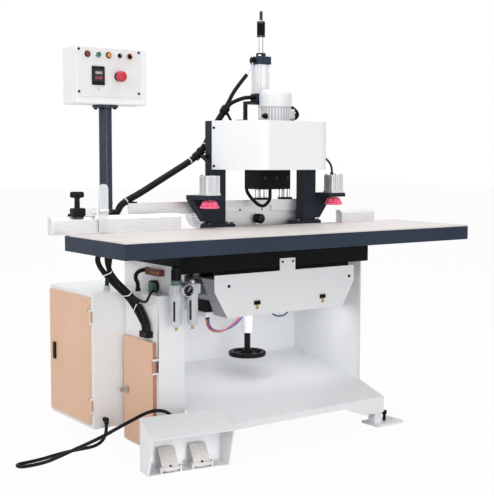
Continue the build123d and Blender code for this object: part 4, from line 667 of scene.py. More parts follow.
def turned(finish, foot, axis, sides, rings):
    """A turned piece: a disc drawn out along its axis through rings of (distance, radius)."""
    fresh()
    foot, axis = Vector(foot), Vector(axis).normalized()
    first, radius = rings[0]
    bpy.ops.mesh.primitive_circle_add(vertices=sides, radius=radius, fill_type="NGON",
                                      location=foot + axis * first,
                                      rotation=axis.to_track_quat("Z", "Y").to_euler())
    made = settle()
    open_mesh(made)
    for (near, old), (far, new) in zip(rings, rings[1:]):
        bpy.ops.mesh.extrude_region_move(TRANSFORM_OT_translate={"value": axis * (far - near)})
        bpy.ops.transform.resize(value=(new / old,) * 3, center_override=foot + axis * far)
    return paint(close_mesh(made), finish)


print("shape helpers ready")

# %% [markdown]
# A finished piece has its modifiers applied, its shapes joined and its flat faces kept flat by weighted
# normals. It then gets a name, a body of the machine to ride on and the nodes that it stands for.

# %% Finishing a piece
def modify(made, kind, **settings):
    """Add a modifier with these settings and apply it."""
    take(made)
    added = made.modifiers.new(kind.lower(), kind)
    for name, value in settings.items():
        setattr(added, name, value)
    bpy.ops.object.modifier_apply(modifier=added.name)
    return made


def eased(made, width, degrees, segments=2):
    """Bevel every edge that is sharper than an angle."""
    return modify(made, "BEVEL", width=width, segments=segments, limit_method="ANGLE",
                  angle_limit=math.radians(degrees))


def joined(*pieces):
    """Several shapes made one object, each with its own finish."""
    take(*pieces)
    bpy.ops.object.join()
    return bpy.context.object


def place(made, name, body, slot, *stands_for, angle=35):
    """Name a finished piece, smooth it, and let it ride its body in the place of its CAD nodes."""
    take(made)
    settle()
    bpy.ops.object.shade_smooth_by_angle(angle=math.radians(angle))
    modify(made, "WEIGHTED_NORMAL", keep_sharp=True)
    made.name = name
    made.data.name = name
    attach(made, body)
    if stands_for:
        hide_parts(*stands_for)
    print(name, "faces:", len(made.data.polygons))


print("finishing helpers ready")

# %% [markdown]
# Screws are what the eye counts on a machine. A socket screw is a turned head with a hole drawn back down
# into it, and a hexagon bolt is the same stack of rings with only six sides, on a round washer.

# %% Screw makers
def socket_screw(finish, foot, axis, radius, height):
    """A socket head screw that stands on a face."""
    edge = 0.0008
    return turned(finish, foot, axis, 24, [(0, radius), (height - edge, radius), (height, radius - edge),
                                           (height, radius * 0.55), (height * 0.45, radius * 0.52)])


def hex_bolt(finish, foot, axis, radius, height):
    """A hexagon head on its washer."""
    rim, edge = radius * 1.35, 0.001
    washer = turned(finish, foot, axis, 24, [(0, rim), (0.0016, rim), (0.002, radius * 1.3)])
    head = turned(finish, foot, axis, 6, [(0.0018, radius), (height - edge, radius), (height, radius * 0.86)])
    return joined(washer, head)


print("screw makers ready")

# %% [markdown]
# The hood is one bent sheet in front of the pillars, open above, below and behind. A box pulled narrower at
# its front gives the plan, the open sides are deleted, the two front edges are bevelled to the bend's
# radius, and Solidify gives the sheet its thickness inwards.

# %% Hood
hood_low, hood_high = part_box("hood")
hood_bend = 0.026
hood_sheet = 0.003
hood_front_share = 0.312 / 0.534
hood = block(white_enamel, hood_low, hood_high, 0)
open_mesh(hood)
choose(hood, lambda face: face.normal.y < -0.5)
bpy.ops.transform.resize(value=(hood_front_share, 1, 1), center_override=(hood_low + hood_high) / 2)
choose(hood, lambda face: abs(face.normal.z) > 0.5 or face.normal.y > 0.5)
bpy.ops.mesh.delete(type="FACE")
choose(hood, lambda edge: all(end.co.y < hood_low.y + 0.001 for end in edge.verts)
       and abs(edge.verts[0].co.z - edge.verts[1].co.z) > 0.01, "EDGE")
bpy.ops.mesh.bevel(offset=hood_bend, segments=8, affect="EDGES")
close_mesh(hood)
modify(hood, "SOLIDIFY", thickness=hood_sheet, offset=-1)
place(eased(hood, 0.0006, 60), "hood_sheet", "machine", "white_paint", "hood")

# %% [markdown]
# The head motor stands upright behind the hood: a finned body on a flange, a fan cowl with a rounded crown
# and a terminal box. The fins are every second side of a drum, drawn out with one extrude.

# %% Head motor
def drum(finish, foot, axis, radius, height, sides, reach):
    """A drum whose every second side is drawn out, as fins, flutes or lobes."""
    fresh()
    axis = Vector(axis).normalized()
    centre = Vector(foot) + axis * height / 2
    bpy.ops.mesh.primitive_cylinder_add(vertices=sides, radius=radius, depth=height, location=centre,
                                        rotation=axis.to_track_quat("Z", "Y").to_euler())
    made = settle()
    open_mesh(made)
    across = axis.orthogonal().normalized()
    sideways = axis.cross(across)

    def turn_of(face):
        """How far round the drum a side stands."""
        out = face.calc_center_median() - centre
        return math.atan2(out.dot(sideways), out.dot(across))

    walls = [face for face in bmesh.from_edit_mesh(made.data).faces if abs(face.normal.dot(axis)) < 0.5]
    drawn = {face.index for face in sorted(walls, key=turn_of)[::2]}
    choose(made, lambda face: face.index in drawn)
    bpy.ops.mesh.extrude_faces_move(TRANSFORM_OT_shrink_fatten={"value": reach})
    return paint(close_mesh(made), finish)


motor_foot = at(gantry_x, 0.386, 1.24)
motor_parts = [
    turned(white_enamel, motor_foot, up, 48, [(0, 0.058), (0.001, 0.06), (0.011, 0.06), (0.012, 0.057)]),
    drum(white_enamel, motor_foot + up * 0.012, up, 0.054, 0.075, 60, 0.0075),
    turned(white_enamel, motor_foot, up, 56, [
        (0.087, 0.06), (0.0885, 0.064), (0.09, 0.065), (0.136, 0.065), (0.143, 0.0642), (0.149, 0.0615),
        (0.154, 0.057), (0.1572, 0.051), (0.159, 0.043), (0.159, 0.036), (0.1575, 0.0345), (0.1575, 0.0295),
        (0.159, 0.028), (0.159, 0.0215), (0.1575, 0.02), (0.1575, 0.0155), (0.159, 0.014), (0.159, 0.006)]),
    block(white_enamel, at(0.96, 0.364, 1.281), at(0.986, 0.408, 1.321), 0.004),
    block(white_enamel, at(0.985, 0.362, 1.279), at(0.989, 0.41, 1.323), 0.0015)]
place(joined(*motor_parts), "motor_with_fins", "drill_head", "white_paint", "head_motor", angle=32)
motor_gland = turned(black_plastic, at(0.847, 0.37, 1.292), -right, 8, [
    (-0.004, 0.011), (0.004, 0.011), (0.005, 0.009), (0.012, 0.008), (0.016, 0.006)])
place(motor_gland, "motor_gland", "drill_head", "black_plastic", angle=30)

# %% [markdown]
# The feed cylinder above it is a plain tube between two square caps that four tie rods pull together. Only
# one rod and one nut are described, and two loops set them at the corners.

# %% Feed cylinder
cylinder_foot = at(gantry_x, 0.486, 1.355)
tie_out, cap_half, cap_height = 0.0245, 0.031, 0.032
tube = turned(white_enamel, cylinder_foot, up, 48, [
    (0.032, 0.0275), (0.033, 0.029), (0.149, 0.029), (0.15, 0.0275)])
rods, nuts = [], []
for side_x in (-1, 1):
    for side_y in (-1, 1):
        corner = cylinder_foot + Vector((side_x, side_y, 0)) * tie_out
        rods.append(turned(white_enamel, corner, up, 16, [(0.03, 0.004), (0.152, 0.004)]))
        nuts.append(hex_bolt(ground_steel, corner + up * 0.182, up, 0.006, 0.006))
place(joined(tube, *rods), "feed_tube", "machine", "white_paint", "air_cylinders")
caps = [block(slate_enamel, cylinder_foot + Vector((-cap_half, -cap_half, rise)),
              cylinder_foot + Vector((cap_half, cap_half, rise + cap_height)), 0.003) for rise in (0, 0.15)]
boss = turned(slate_enamel, cylinder_foot, up, 40, [(0.18, 0.02), (0.195, 0.02), (0.197, 0.018)])
place(joined(*caps, boss, *nuts), "cylinder_ends", "machine", "slate_paint", "cylinder_caps")

# %% [markdown]
# The cylinder's rod carries a fluted sleeve that sets the drilling depth, and a ribbed tip. The ribs repeat,
# so a loop adds the same four rings for each groove to the list that the tip is drawn out along.

# %% Feed rod
sleeve_foot = at(gantry_x, 0.486, 1.6163)
tip_rings = [(0.066, 0.0068)]
for groove in range(6):
    low = 0.068 + groove * 0.0055
    tip_rings += [(low, 0.007), (low + 0.0035, 0.007), (low + 0.004, 0.0058), (low + 0.005, 0.0058)]
tip_rings += [(0.1025, 0.007), (0.104, 0.0055)]
rod_parts = [
    turned(ground_steel, at(gantry_x, 0.486, 1.178), up, 32, [(0, 0.009), (0.001, 0.01), (0.439, 0.01)]),
    drum(black_enamel, sleeve_foot + up * 0.0072, up, 0.0136, 0.0472, 12, 0.003),
    turned(dark_steel, sleeve_foot, up, 40, [
        (0, 0.0155), (0.0015, 0.017), (0.007, 0.017), (0.0075, 0.016)]),
    turned(dark_steel, sleeve_foot, up, 40, [
        (0.054, 0.016), (0.0545, 0.017), (0.0615, 0.017), (0.063, 0.0155)]),
    turned(ground_steel, sleeve_foot, up, 32, [(0.062, 0.012), (0.066, 0.012), (0.067, 0.01)]),
    turned(dark_steel, sleeve_foot, up, 28, tip_rings)]
place(joined(*rod_parts), "feed_rod", "drill_head", "bare_steel", "piston_rod")

# %% [markdown]
# Each clamp is a short air cylinder on a dark arm. Sensor slots run down its front and sides, cut with thin
# bars by a Boolean modifier. The left cylinder is modelled, and the right one is a copy with its own mesh.

# %% Clamp cylinders
def combined(made, operation, *others):
    """Cut other shapes out of a piece, or melt them into it, and delete them."""
    for other in others:
        modify(made, "BOOLEAN", object=other, operation=operation, solver="EXACT")
        take(other)
        bpy.ops.object.delete()
    return made


def another(made, move):
    """A copy with its own mesh, moved along."""
    take(made)
    bpy.ops.object.duplicate(linked=False)
    bpy.ops.transform.translate(value=move)
    return settle()


clamp_step = right * 0.632
clamp_foot = at(0.592, 0.39, 0.979)
clamp_body = block(satin_grey, at(0.56, 0.363, 0.979), at(0.624, 0.417, 1.056), 0.004)
slot_half = 0.002
slots = []
for slot_middle in (-0.014, 0.014):
    near, far = slot_middle - slot_half, slot_middle + slot_half
    front_slot, left_slot = ((near, -0.03), (far, -0.0248)), ((-0.035, near), (-0.0298, far))
    right_slot = ((0.0298, near), (0.035, far))
    for low, high in (front_slot, left_slot, right_slot):
        slots.append(block(None, clamp_foot + Vector((*low, 0.012)), clamp_foot + Vector((*high, 0.09)), 0))
combined(clamp_body, "DIFFERENCE", *slots)
clamp_plate = block(satin_grey, at(0.5585, 0.3615, 0.979), at(0.6255, 0.4185, 0.988), 0.0015)
clamp_screws = [socket_screw(dark_steel, clamp_foot + Vector((x, y, 0.077)), up, 0.0045, 0.003)
                for x in (-0.024, 0.024) for y in (-0.019, 0.019)]
left_clamp = joined(clamp_body, clamp_plate, *clamp_screws)
place(another(left_clamp, clamp_step), "clamp_cylinder_right", "machine", "bare_aluminium", "air_cylinders")
place(left_clamp, "clamp_cylinder_left", "machine", "bare_aluminium", "air_cylinders")

# %% [markdown]
# Under each clamp cylinder a red moulded foot presses on the door. It has eight lobes over a round rim: the
# lobes are drawn out of a drum, pulled in at the top, and swollen by a subdivision surface.

# %% Clamp feet
def rounded(made):
    """Round a piece with an applied subdivision surface."""
    return modify(made, "SUBSURF", levels=2, render_levels=2)


pad_foot = at(0.592, 0.39, 0.929)
pad_rim = turned(pad_red, pad_foot, up, 48, [
    (0, 0.034), (0.0008, 0.0362), (0.003, 0.0385), (0.006, 0.039), (0.0085, 0.0378), (0.01, 0.035),
    (0.0105, 0.03)])
pad_lobes = drum(pad_red, pad_foot + up * 0.006, up, 0.0275, 0.026, 16, 0.0115)
open_mesh(pad_lobes)
choose(pad_lobes, lambda face: face.normal.z > 0.5)
bpy.ops.transform.resize(value=(0.66, 0.66, 1), center_override=pad_foot)
rounded(close_mesh(pad_lobes))
pad_cap = turned(pad_red, pad_foot, up, 40, [
    (0.028, 0.021), (0.0305, 0.019), (0.0315, 0.015), (0.0318, 0.009)])
pad_rod = turned(ground_steel, pad_foot, up, 24, [(0.029, 0.008), (0.105, 0.008)])
left_pad = joined(pad_rim, pad_lobes, pad_cap, pad_rod)
place(another(left_pad, clamp_step), "clamp_foot_right", "clamp_right", "red_plastic", "clamp_pad_right")
place(left_pad, "clamp_foot_left", "clamp_left", "red_plastic", "clamp_pad_left")

# %% [markdown]
# Under the drilling block hang presser feet on bright posts, and three socket screws hold the block's cover.
# The posts are sleeves round the solid ones. The mortiser's spindle nose below gets a dark collet ring.

# %% Presser posts and collet
sleeve_rings = [(0, 0.0075), (0.004, 0.0075), (0.0045, 0.006), (0.028, 0.006), (0.0285, 0.0075),
                (0.0325, 0.0075)]
sleeves = [turned(ground_steel, at(x, 0.402, 0.966), up, 20, sleeve_rings)
           for x in (0.827, 0.869, 0.947, 0.989)]
sleeves += [socket_screw(dark_steel, at(x, 0.38, 1.045), -back, 0.006, 0.004)
            for x in (0.85, gantry_x, 0.966)]
place(joined(*sleeves), "presser_sleeves", "drill_head", "bare_steel")
collet = turned(dark_steel, at(gantry_x, 0.478, 0.875), -back, 32, [
    (0, 0.0135), (0.0024, 0.0135), (0.003, 0.0125), (0.003, 0.0085), (0.0004, 0.0075)])
place(collet, "collet_ring", "mortiser", "bare_steel")

# %% [markdown]
# The control box is a folded sheet case with rounded edges. A plate behind it, held by four screws, closes
# the opening through which it is wired.

# %% Control case
case_parts = [block(white_enamel, at(0.058, 0.449, 1.319), at(0.346, 0.563, 1.526), 0.005),
              block(white_enamel, at(0.068, 0.5615, 1.329), at(0.336, 0.5645, 1.516), 0.001)]
case_parts += [socket_screw(black_enamel, at(x, 0.5645, z), back, 0.004, 0.0025)
               for x in (0.078, 0.326) for z in (1.339, 1.506)]
place(joined(*case_parts), "control_case", "machine", "white_paint", "control_box")

# %% [markdown]
# The box's front holds a grey plate with a counter, a signal lamp and the collars of the operators. Digits
# are the only writing, plain numbers on the counter. They are text made a mesh, a little proud of the glass.

# %% Control panel
panel_y, digit_y = 0.446, 0.4393
button_z, estop_z = 1.497, 1.421
estop_x = 0.226
button_xs = [0.1 + 0.043 * step for step in range(5)]
lamp_x, start_x, cycle_x, clamp_x, mode_x = button_xs


def digits(finish, text, z):
    """A row of plain digits that stands a little proud of the counter's glass."""
    fresh()
    bpy.ops.object.text_add(location=at(0.1285, digit_y, z), rotation=(math.pi / 2, 0, 0))
    row = bpy.context.object
    row.data.body = text
    row.data.size = 0.0135
    row.data.extrude = 0.0002
    bpy.ops.object.convert(target="MESH")
    return paint(settle(), finish)


panel_parts = [
    block(panel_grey, at(0.059, panel_y, 1.345), at(0.321, 0.4492, 1.523), 0.0008),
    block(black_plastic, at(0.116, 0.4405, 1.387), at(0.168, panel_y, 1.455), 0.004),
    block(display_glass, at(0.1215, 0.4396, 1.4), at(0.1625, 0.4415, 1.444), 0.0004),
    digits(digit_white, "0850", 1.4265),
    digits(digit_red, "0120", 1.4085),
    turned(grey_plastic, at(0.142, panel_y, 1.374), -back, 20, [
        (0, 0.0045), (0.002, 0.0045), (0.003, 0.0035)]),
    turned(black_plastic, at(estop_x, panel_y, estop_z), -back, 36, [
        (0, 0.0172), (0.0105, 0.0172), (0.012, 0.0155)])]
collar_rings = [(0, 0.0118), (0.002, 0.0118), (0.0036, 0.0105), (0.0038, 0.0092)]
for x, finish in zip(button_xs, (black_plastic, ground_steel, black_plastic, tie_white, amber_plastic)):
    panel_parts.append(turned(finish, at(x, panel_y, button_z), -back, 32, collar_rings))
panel_parts.append(turned(lamp_plastic, at(lamp_x, panel_y, button_z), -back, 28, [
    (0.0036, 0.0088), (0.0065, 0.0085), (0.0082, 0.0068), (0.009, 0.004)]))
place(joined(*panel_parts), "control_front", "machine", "plate_grey", "control_panel")

# %% [markdown]
# The operators move, so each is a piece of its own on its own body: two push buttons, two selectors with a
# marked grip, and the red mushroom of the emergency stop. All are turned from behind the panel's plate.

# %% Buttons and selectors
stem_y = 0.466
push_rings = [(0, 0.007), (0.0243, 0.007), (0.0246, 0.0085), (0.0285, 0.0088), (0.0297, 0.008), (0.03, 0.006)]
for name, x, finish, slot in (("start", start_x, green_plastic, "green_plastic"),
                              ("cycle", cycle_x, amber_plastic, "amber_plastic")):
    push = turned(finish, at(x, stem_y, button_z), -back, 32, push_rings)
    place(push, name + "_cap", name + "_button", slot, name + "_button")
base_rings = [(0, 0.007), (0.0243, 0.007), (0.0246, 0.0086), (0.0268, 0.0086), (0.0272, 0.0078)]
for name, x in (("clamp_selector", clamp_x), ("mode_selector", mode_x)):
    base = turned(black_plastic, at(x, stem_y, button_z), -back, 32, base_rings)
    grip = block(black_plastic, at(x - 0.003, 0.4302, button_z - 0.008),
                 at(x + 0.003, 0.441, button_z + 0.008), 0.0014)
    mark = block(digit_white, at(x - 0.0008, 0.43, button_z + 0.001),
                 at(x + 0.0008, 0.4306, button_z + 0.007), 0.0002)
    place(joined(base, grip, mark), name + "_knob", name, "black_plastic", name)
mushroom = turned(red_plastic, at(estop_x, stem_y, estop_z), -back, 44, [
    (0, 0.008), (0.0345, 0.008), (0.036, 0.0182), (0.0375, 0.0197), (0.046, 0.02), (0.05, 0.0187),
    (0.0538, 0.0148), (0.0556, 0.0095), (0.056, 0.004)])
place(mushroom, "estop_mushroom", "estop", "red_plastic", "estop_button")

# %% [markdown]
# Four hexagon bolts hold the box to the flange of its post. They hang under the flange, where only a low view
# shows them.

# %% Post flange bolts
post_x, post_y, bolt_out = 0.202, 0.506, 0.0259
flange_bolts = []
for side_x, side_y in ((1, 1), (-1, 1), (-1, -1), (1, -1)):
    spot = at(post_x + side_x * bolt_out, post_y + side_y * bolt_out, 1.309)
    flange_bolts.append(hex_bolt(black_enamel, spot, -up, 0.006, 0.006))
place(joined(*flange_bolts), "post_flange_bolts", "machine", "black_paint")

# %% [markdown]
# The air service unit cleans and oils the air: two grey bowls with dark sight slots hang under a block, each
# with a brass drain, and a strap ties the block to the post. The bowls are alike, so a loop makes both.

# %% Air service unit
filter_x, oiler_x, bowl_y = 0.366, 0.437, 0.275
block_low, block_high = 0.622, 0.66
sight_turn = math.radians(52)
unit_parts = [block(grey_plastic, at(0.343, 0.252, block_low), at(0.46, 0.292, block_high), 0.004),
              block(grey_plastic, at(0.406, 0.291, block_low), at(0.441, 0.345, block_high), 0.002),
              block(dark_steel, at(0.397, 0.25, 0.6195), at(0.406, 0.2935, 0.6625), 0.001)]
for x in (filter_x, oiler_x):
    bowl_top = at(x, bowl_y, block_low)
    unit_parts.append(turned(grey_plastic, bowl_top, -up, 40, [
        (-0.004, 0.0225), (0.014, 0.0225), (0.0155, 0.0212), (0.1, 0.0205), (0.111, 0.0182), (0.1185, 0.0132),
        (0.122, 0.007)]))
    unit_parts.append(turned(brass, bowl_top, -up, 20, [
        (0.12, 0.005), (0.127, 0.005), (0.1275, 0.0065), (0.132, 0.0065), (0.134, 0.005)]))
    for facing in (1, -1):
        sight_y = -0.0213 * facing
        sight = block(display_glass, bowl_top + Vector((-0.0042, sight_y - 0.001, -0.098)),
                      bowl_top + Vector((0.0042, sight_y + 0.001, -0.024)), 0.0009)
        take(sight)
        bpy.ops.transform.rotate(value=sight_turn, orient_axis="Z", center_override=bowl_top)
        unit_parts.append(sight)
unit_parts.append(turned(satin_grey, at(oiler_x, bowl_y, block_high), up, 28, [
    (0, 0.0112), (0.004, 0.0112), (0.005, 0.0098), (0.011, 0.0092), (0.0148, 0.0062), (0.016, 0.003)]))
print("air unit parts:", len(unit_parts))

# %% [markdown]
# A small gauge on the front of the unit shows the pressure: a bright rim round a black dial, with nine white
# dots and a needle. The dots stand at equal steps over three quarters of a turn, worked out by a loop.

# %% Gauge
gauge_foot = at(0.3885, 0.252, 0.641)
first_dot, dot_step, dot_out = 225, 33.75, 0.017
needle_turn = math.radians(-40)
unit_parts.append(turned(satin_grey, gauge_foot, -back, 44, [
    (0, 0.007), (0.008, 0.007), (0.0083, 0.0225), (0.0095, 0.024), (0.0258, 0.024), (0.028, 0.0232),
    (0.028, 0.0215), (0.0262, 0.021)]))
unit_parts.append(turned(black_plastic, gauge_foot, -back, 44, [(0.0255, 0.0209), (0.0266, 0.0209)]))
for dot in range(9):
    turn = math.radians(first_dot - dot_step * dot)
    spot = gauge_foot + Vector((math.cos(turn) * dot_out, -0.0267, math.sin(turn) * dot_out))
    unit_parts.append(turned(digit_white, spot, -back, 8, [(0, 0.0012), (0.0004, 0.0011)]))
needle = block(digit_white, gauge_foot + Vector((-0.0009, -0.0276, -0.005)),
               gauge_foot + Vector((0.0009, -0.0268, 0.0145)), 0.0003)
take(needle)
bpy.ops.transform.rotate(value=needle_turn, orient_axis="Y", center_override=gauge_foot)
unit_parts.append(needle)
place(joined(*unit_parts), "air_unit", "machine", "plate_grey", "air_service_unit")

# %% [markdown]
# On top of the filter sits the regulator's knob, black over a green collar. Its grip is a drum with every
# second side drawn out, between two smooth rims.

# %% Regulator knob
knob_foot = at(filter_x, bowl_y, block_high)
knob_parts = [
    turned(relay_green, knob_foot, up, 40, [
        (-0.018, 0.008), (0.0003, 0.008), (0.0005, 0.0192), (0.002, 0.02), (0.013, 0.02), (0.015, 0.0185),
        (0.016, 0.017)]),
    drum(black_plastic, knob_foot + up * 0.0155, up, 0.0168, 0.038, 36, 0.0022),
    turned(black_plastic, knob_foot, up, 40, [
        (0.053, 0.0175), (0.0615, 0.0175), (0.0645, 0.0158), (0.066, 0.012)])]
place(joined(*knob_parts), "regulator_grip", "regulator", "black_plastic", "regulator_knob")

# %% [markdown]
# The length stop slides on the left rail: a black block that grips the rail, an aluminium arm with a pin, and
# a lobed clamping knob. The knob's lobes are drawn out of a drum and rounded, like the clamp feet.

# %% Length stop
stop_y, pin_y, pin_z = 0.421, 0.3936, 0.932
stop_parts = [block(black_plastic, at(0.015, 0.4, 0.9144), at(0.065, 0.434, 0.9444), 0.005),
              block(black_plastic, at(0.015, 0.433, 0.9144), at(0.065, 0.449, 0.9224), 0.0015),
              block(black_plastic, at(0.015, 0.4434, 0.8844), at(0.065, 0.449, 0.9164), 0.0012),
              block(milled_aluminium, at(0.064, 0.411, 0.9184), at(0.112, 0.427, 0.941), 0.002),
              block(milled_aluminium, at(0.1, 0.3856, 0.924), at(0.112, 0.419, 0.941), 0.002),
              turned(ground_steel, at(0.111, pin_y, pin_z), right, 20, [
                  (0, 0.004), (0.039, 0.004), (0.04, 0.0035)])]
place(joined(*stop_parts), "stop_carriage", "stop_block", "black_plastic", "stop_block")
stem = turned(black_plastic, at(0.04, stop_y, 0.9174), up, 28, [
    (0, 0.0058), (0.0271, 0.0058), (0.0273, 0.0098), (0.029, 0.01), (0.058, 0.0095), (0.066, 0.012),
    (0.068, 0.014)])
lobes = rounded(drum(black_plastic, at(0.04, stop_y, 0.98), up, 0.0185, 0.024, 12, 0.0085))
place(joined(stem, lobes), "stop_grip", "stop_knob", "black_plastic", "stop_knob")

# %% [markdown]
# The stop's clear flip bar swings up out of the way on a barrel round the pin. Its round top is a wide bevel
# on the two upper edges of a flat box.

# %% Flip stop
flip_bar = block(clear_acrylic, at(0.114, 0.3896, 0.856), at(0.15, 0.3976, 1.03), 0)
open_mesh(flip_bar)
choose(flip_bar, lambda edge: all(end.co.z > 1.02 for end in edge.verts)
       and abs(edge.verts[0].co.y - edge.verts[1].co.y) > 0.005, "EDGE")
bpy.ops.mesh.bevel(offset=0.0178, segments=10, affect="EDGES")
eased(close_mesh(flip_bar), 0.001, 50)
flip_barrel = turned(milled_aluminium, at(0.114, pin_y, pin_z), right, 28, [
    (0, 0.0074), (0.001, 0.008), (0.035, 0.008), (0.036, 0.0074)])
place(joined(flip_bar, flip_barrel), "flip_bar", "flip_stop", "bare_aluminium", "flip_stop")

# %% [markdown]
# The foot pedals are cream mouldings with a rounded toe, grip ribs and one black screw. One is modelled flat
# at the origin and copied, and each is then turned to its slope and set in the guard with one matrix. The
# ears that carry them belong to the guard, and get a grey finish: painted shade, darker than the white guard
# where the low lamp before the guard lights them too brightly.

# %% Foot pedals
pedal_slope = Matrix.Rotation(math.radians(54), 4, "X")
hinge_y, hinge_z, ear_out = 0.05, 0.017, 0.038
ear_half = Vector((0.0065, 0.0115, 0.0115))
toe_round, first_rib, rib_step = 0.02, 0.018, 0.009
board = block(cream_plastic, (-0.033, -0.011, -0.006), (0.033, 0.08, 0.006), 0)
open_mesh(board)
choose(board, lambda edge: all(end.co.y < 0 for end in edge.verts)
       and abs(edge.verts[0].co.z - edge.verts[1].co.z) > 0.005, "EDGE")
bpy.ops.mesh.bevel(offset=toe_round, segments=6, affect="EDGES")
tread_parts = [eased(close_mesh(board), 0.0025, 50, segments=3)]
for rib in range(6):
    low = first_rib + rib * rib_step
    tread_parts.append(block(cream_plastic, (-0.027, low, 0.0055), (0.027, low + 0.003, 0.0072), 0.0008))
tread_parts.append(turned(cream_plastic, (-0.033, 0, 0), right, 24, [
    (0, 0.0075), (0.0008, 0.008), (0.0652, 0.008), (0.066, 0.0075)]))
tread_parts.append(socket_screw(black_enamel, (0, 0.006, 0.0058), up, 0.0048, 0.002))
tread = joined(*tread_parts)
second_tread = another(tread, Vector((0, 0, 0)))
for name, x, piece in (("pedal_left", 0.09, tread), ("pedal_right", 0.214, second_tread)):
    for side in (-1, 1):
        ear = guard_place @ Vector((x + side * ear_out, hinge_y, hinge_z))
        # The grey on the ears is painted shade.
        dress_box(grey_plastic, "pedal_guard", ear - ear_half, ear + ear_half)
    piece.matrix_world = guard_place @ Matrix.Translation((x, hinge_y, hinge_z)) @ pedal_slope
    place(piece, name + "_tread", name, "cream_plastic", name)

# %% [markdown]
# The mortising motor lies behind the table with its fan cowl to the rear: the same kinds of shapes as the
# head motor, turned along the machine's depth.

# %% Mortising motor
rear_foot = at(gantry_x, 0.782, 0.875)
rear_parts = [
    turned(white_enamel, rear_foot, back, 48, [(0, 0.064), (0.0015, 0.067), (0.013, 0.067), (0.014, 0.063)]),
    drum(white_enamel, rear_foot + back * 0.014, back, 0.06, 0.106, 64, 0.0075),
    turned(white_enamel, rear_foot, back, 56, [
        (0.119, 0.066), (0.1205, 0.0685), (0.122, 0.069), (0.164, 0.069), (0.175, 0.0672), (0.183, 0.0625),
        (0.188, 0.055), (0.19, 0.046), (0.19, 0.042), (0.187, 0.0405), (0.187, 0.035), (0.19, 0.0335),
        (0.19, 0.028), (0.187, 0.0265), (0.187, 0.021), (0.19, 0.0195), (0.19, 0.008)]),
    block(white_enamel, at(0.884, 0.81, 0.93), at(0.932, 0.868, 0.962), 0.004),
    block(white_enamel, at(0.882, 0.808, 0.961), at(0.934, 0.87, 0.966), 0.0015)]
place(joined(*rear_parts), "mortise_motor_with_fins", "plunge", "white_paint", "mortise_motor", angle=32)

# %% [markdown]
# Now the black fasteners of the frame: levelling bolts in the feet, and socket screws in the under cover and
# its tab, in the control panel and in the hood's slanted sides.

# %% Levelling bolts and screws
cover_y = 0.3
fasteners = []
for x, y in ((1.375, 0.218), (1.375, 0.773), (0.544, 0.773)):
    fasteners.append(turned(black_enamel, at(x, y, 0.001), up, 24, [
        (0, 0.0115), (0.003, 0.0115), (0.004, 0.0065), (0.036, 0.0065), (0.0362, 0.0105), (0.05, 0.0108),
        (0.051, 0.01), (0.051, 0.0055), (0.044, 0.005)]))
for x, z, radius in ((0.62, 0.632, 0.006), (1.236, 0.632, 0.006),
                     (0.882, 0.712, 0.0045), (0.934, 0.712, 0.0045)):
    fasteners.append(socket_screw(black_enamel, at(x, cover_y, z), -back, radius, 0.004))
for x in (0.065, 0.311):
    for z in (1.362, 1.513):
        fasteners.append(socket_screw(black_enamel, at(x, panel_y, z), -back, 0.0045, 0.003))
for side in (-1, 1):
    for z in (1.093, 1.243):
        spot = at(gantry_x + side * 0.2622, 0.4402, z)
        fasteners.append(socket_screw(black_enamel, spot, (side * 0.876, -0.4815, 0), 0.005, 0.0035))
print("fasteners:", len(fasteners))

# %% [markdown]
# Two latches hold the under cover: a black button in a brass frame over a brass ring. They are small, so they
# join the fasteners, which then stand for the plain screws of the part.

# %% Cover latches
latch_rings = [(0, 0.0078), (0.002, 0.0078), (0.003, 0.006), (0.0052, 0.0055), (0.006, 0.0042),
               (0.006, 0.0028), (0.004, 0.0025)]
for x in (0.756, 1.092):
    fasteners += [
        block(brass, at(x - 0.0165, 0.2988, 0.5475), at(x + 0.0165, 0.3005, 0.5672), 0.0007),
        block(black_enamel, at(x - 0.014, 0.294, 0.5502), at(x + 0.014, 0.2995, 0.5645), 0.0018),
        turned(brass, at(x, 0.3005, 0.538), -back, 24, latch_rings),
        block(brass, at(x - 0.0032, 0.2966, 0.5425), at(x + 0.0032, cover_y, 0.549), 0.0007)]
place(joined(*fasteners), "black_fasteners", "machine", "black_paint", "black_screws")

# %% [markdown]
# Eight hexagon bolts hold the gantry's two flanges on the table. One small screw sits in the fence, and one
# in the mortiser's shield, which rides on the cross slide and so is a piece of its own.

# %% Gantry bolts and shield screw
gantry_bolts = [hex_bolt(dark_steel, at(gantry_x + side * x, y, 0.862), up, 0.0075, 0.007)
                for side in (-1, 1) for x in (0.276, 0.172) for y in (0.447, 0.487)]
gantry_bolts.append(socket_screw(black_enamel, at(0.813, 0.497, 0.913), -back, 0.004, 0.0025))
place(joined(*gantry_bolts), "gantry_bolts", "machine", "bare_steel")
shield_screw = socket_screw(black_enamel, at(0.931, 0.505, 0.9125), -back, 0.004, 0.0016)
place(shield_screw, "shield_screw", "cross", "black_paint")

# %% [markdown]
# A clip carries the upper hose at the control post, and a bolted black steel angle runs behind the under
# cover:
# partly the lower edge of the beam there, partly painted shade for the dark strip between the cover and the
# table. Both are trim that the solids leave out: a few bars and screws.

# %% Hose clip and cover angle
clip_parts = [block(black_plastic, at(0.296, 0.4945, 0.9525), at(0.33, 0.532, 0.9575), 0.0015),
              turned(black_plastic, at(0.2205, 0.506, 0.955), right, 20, [
                  (0, 0.0065), (0.006, 0.0065), (0.0075, 0.005)])]
place(joined(*clip_parts), "hose_clips", "machine", "black_plastic")
shade_angle_parts = [block(black_enamel, at(0.575, 0.308, 0.642), at(1.24, 0.313, 0.69), 0.0015),
               block(black_enamel, at(0.575, 0.308, 0.685), at(1.24, 0.34, 0.69), 0.0015)]
shade_angle_parts += [hex_bolt(dark_steel, at(x, 0.327, 0.685), -up, 0.006, 0.007) for x in (0.6, 0.8, 1.0, 1.2)]
place(joined(*shade_angle_parts), "cover_angle", "machine", "black_paint")

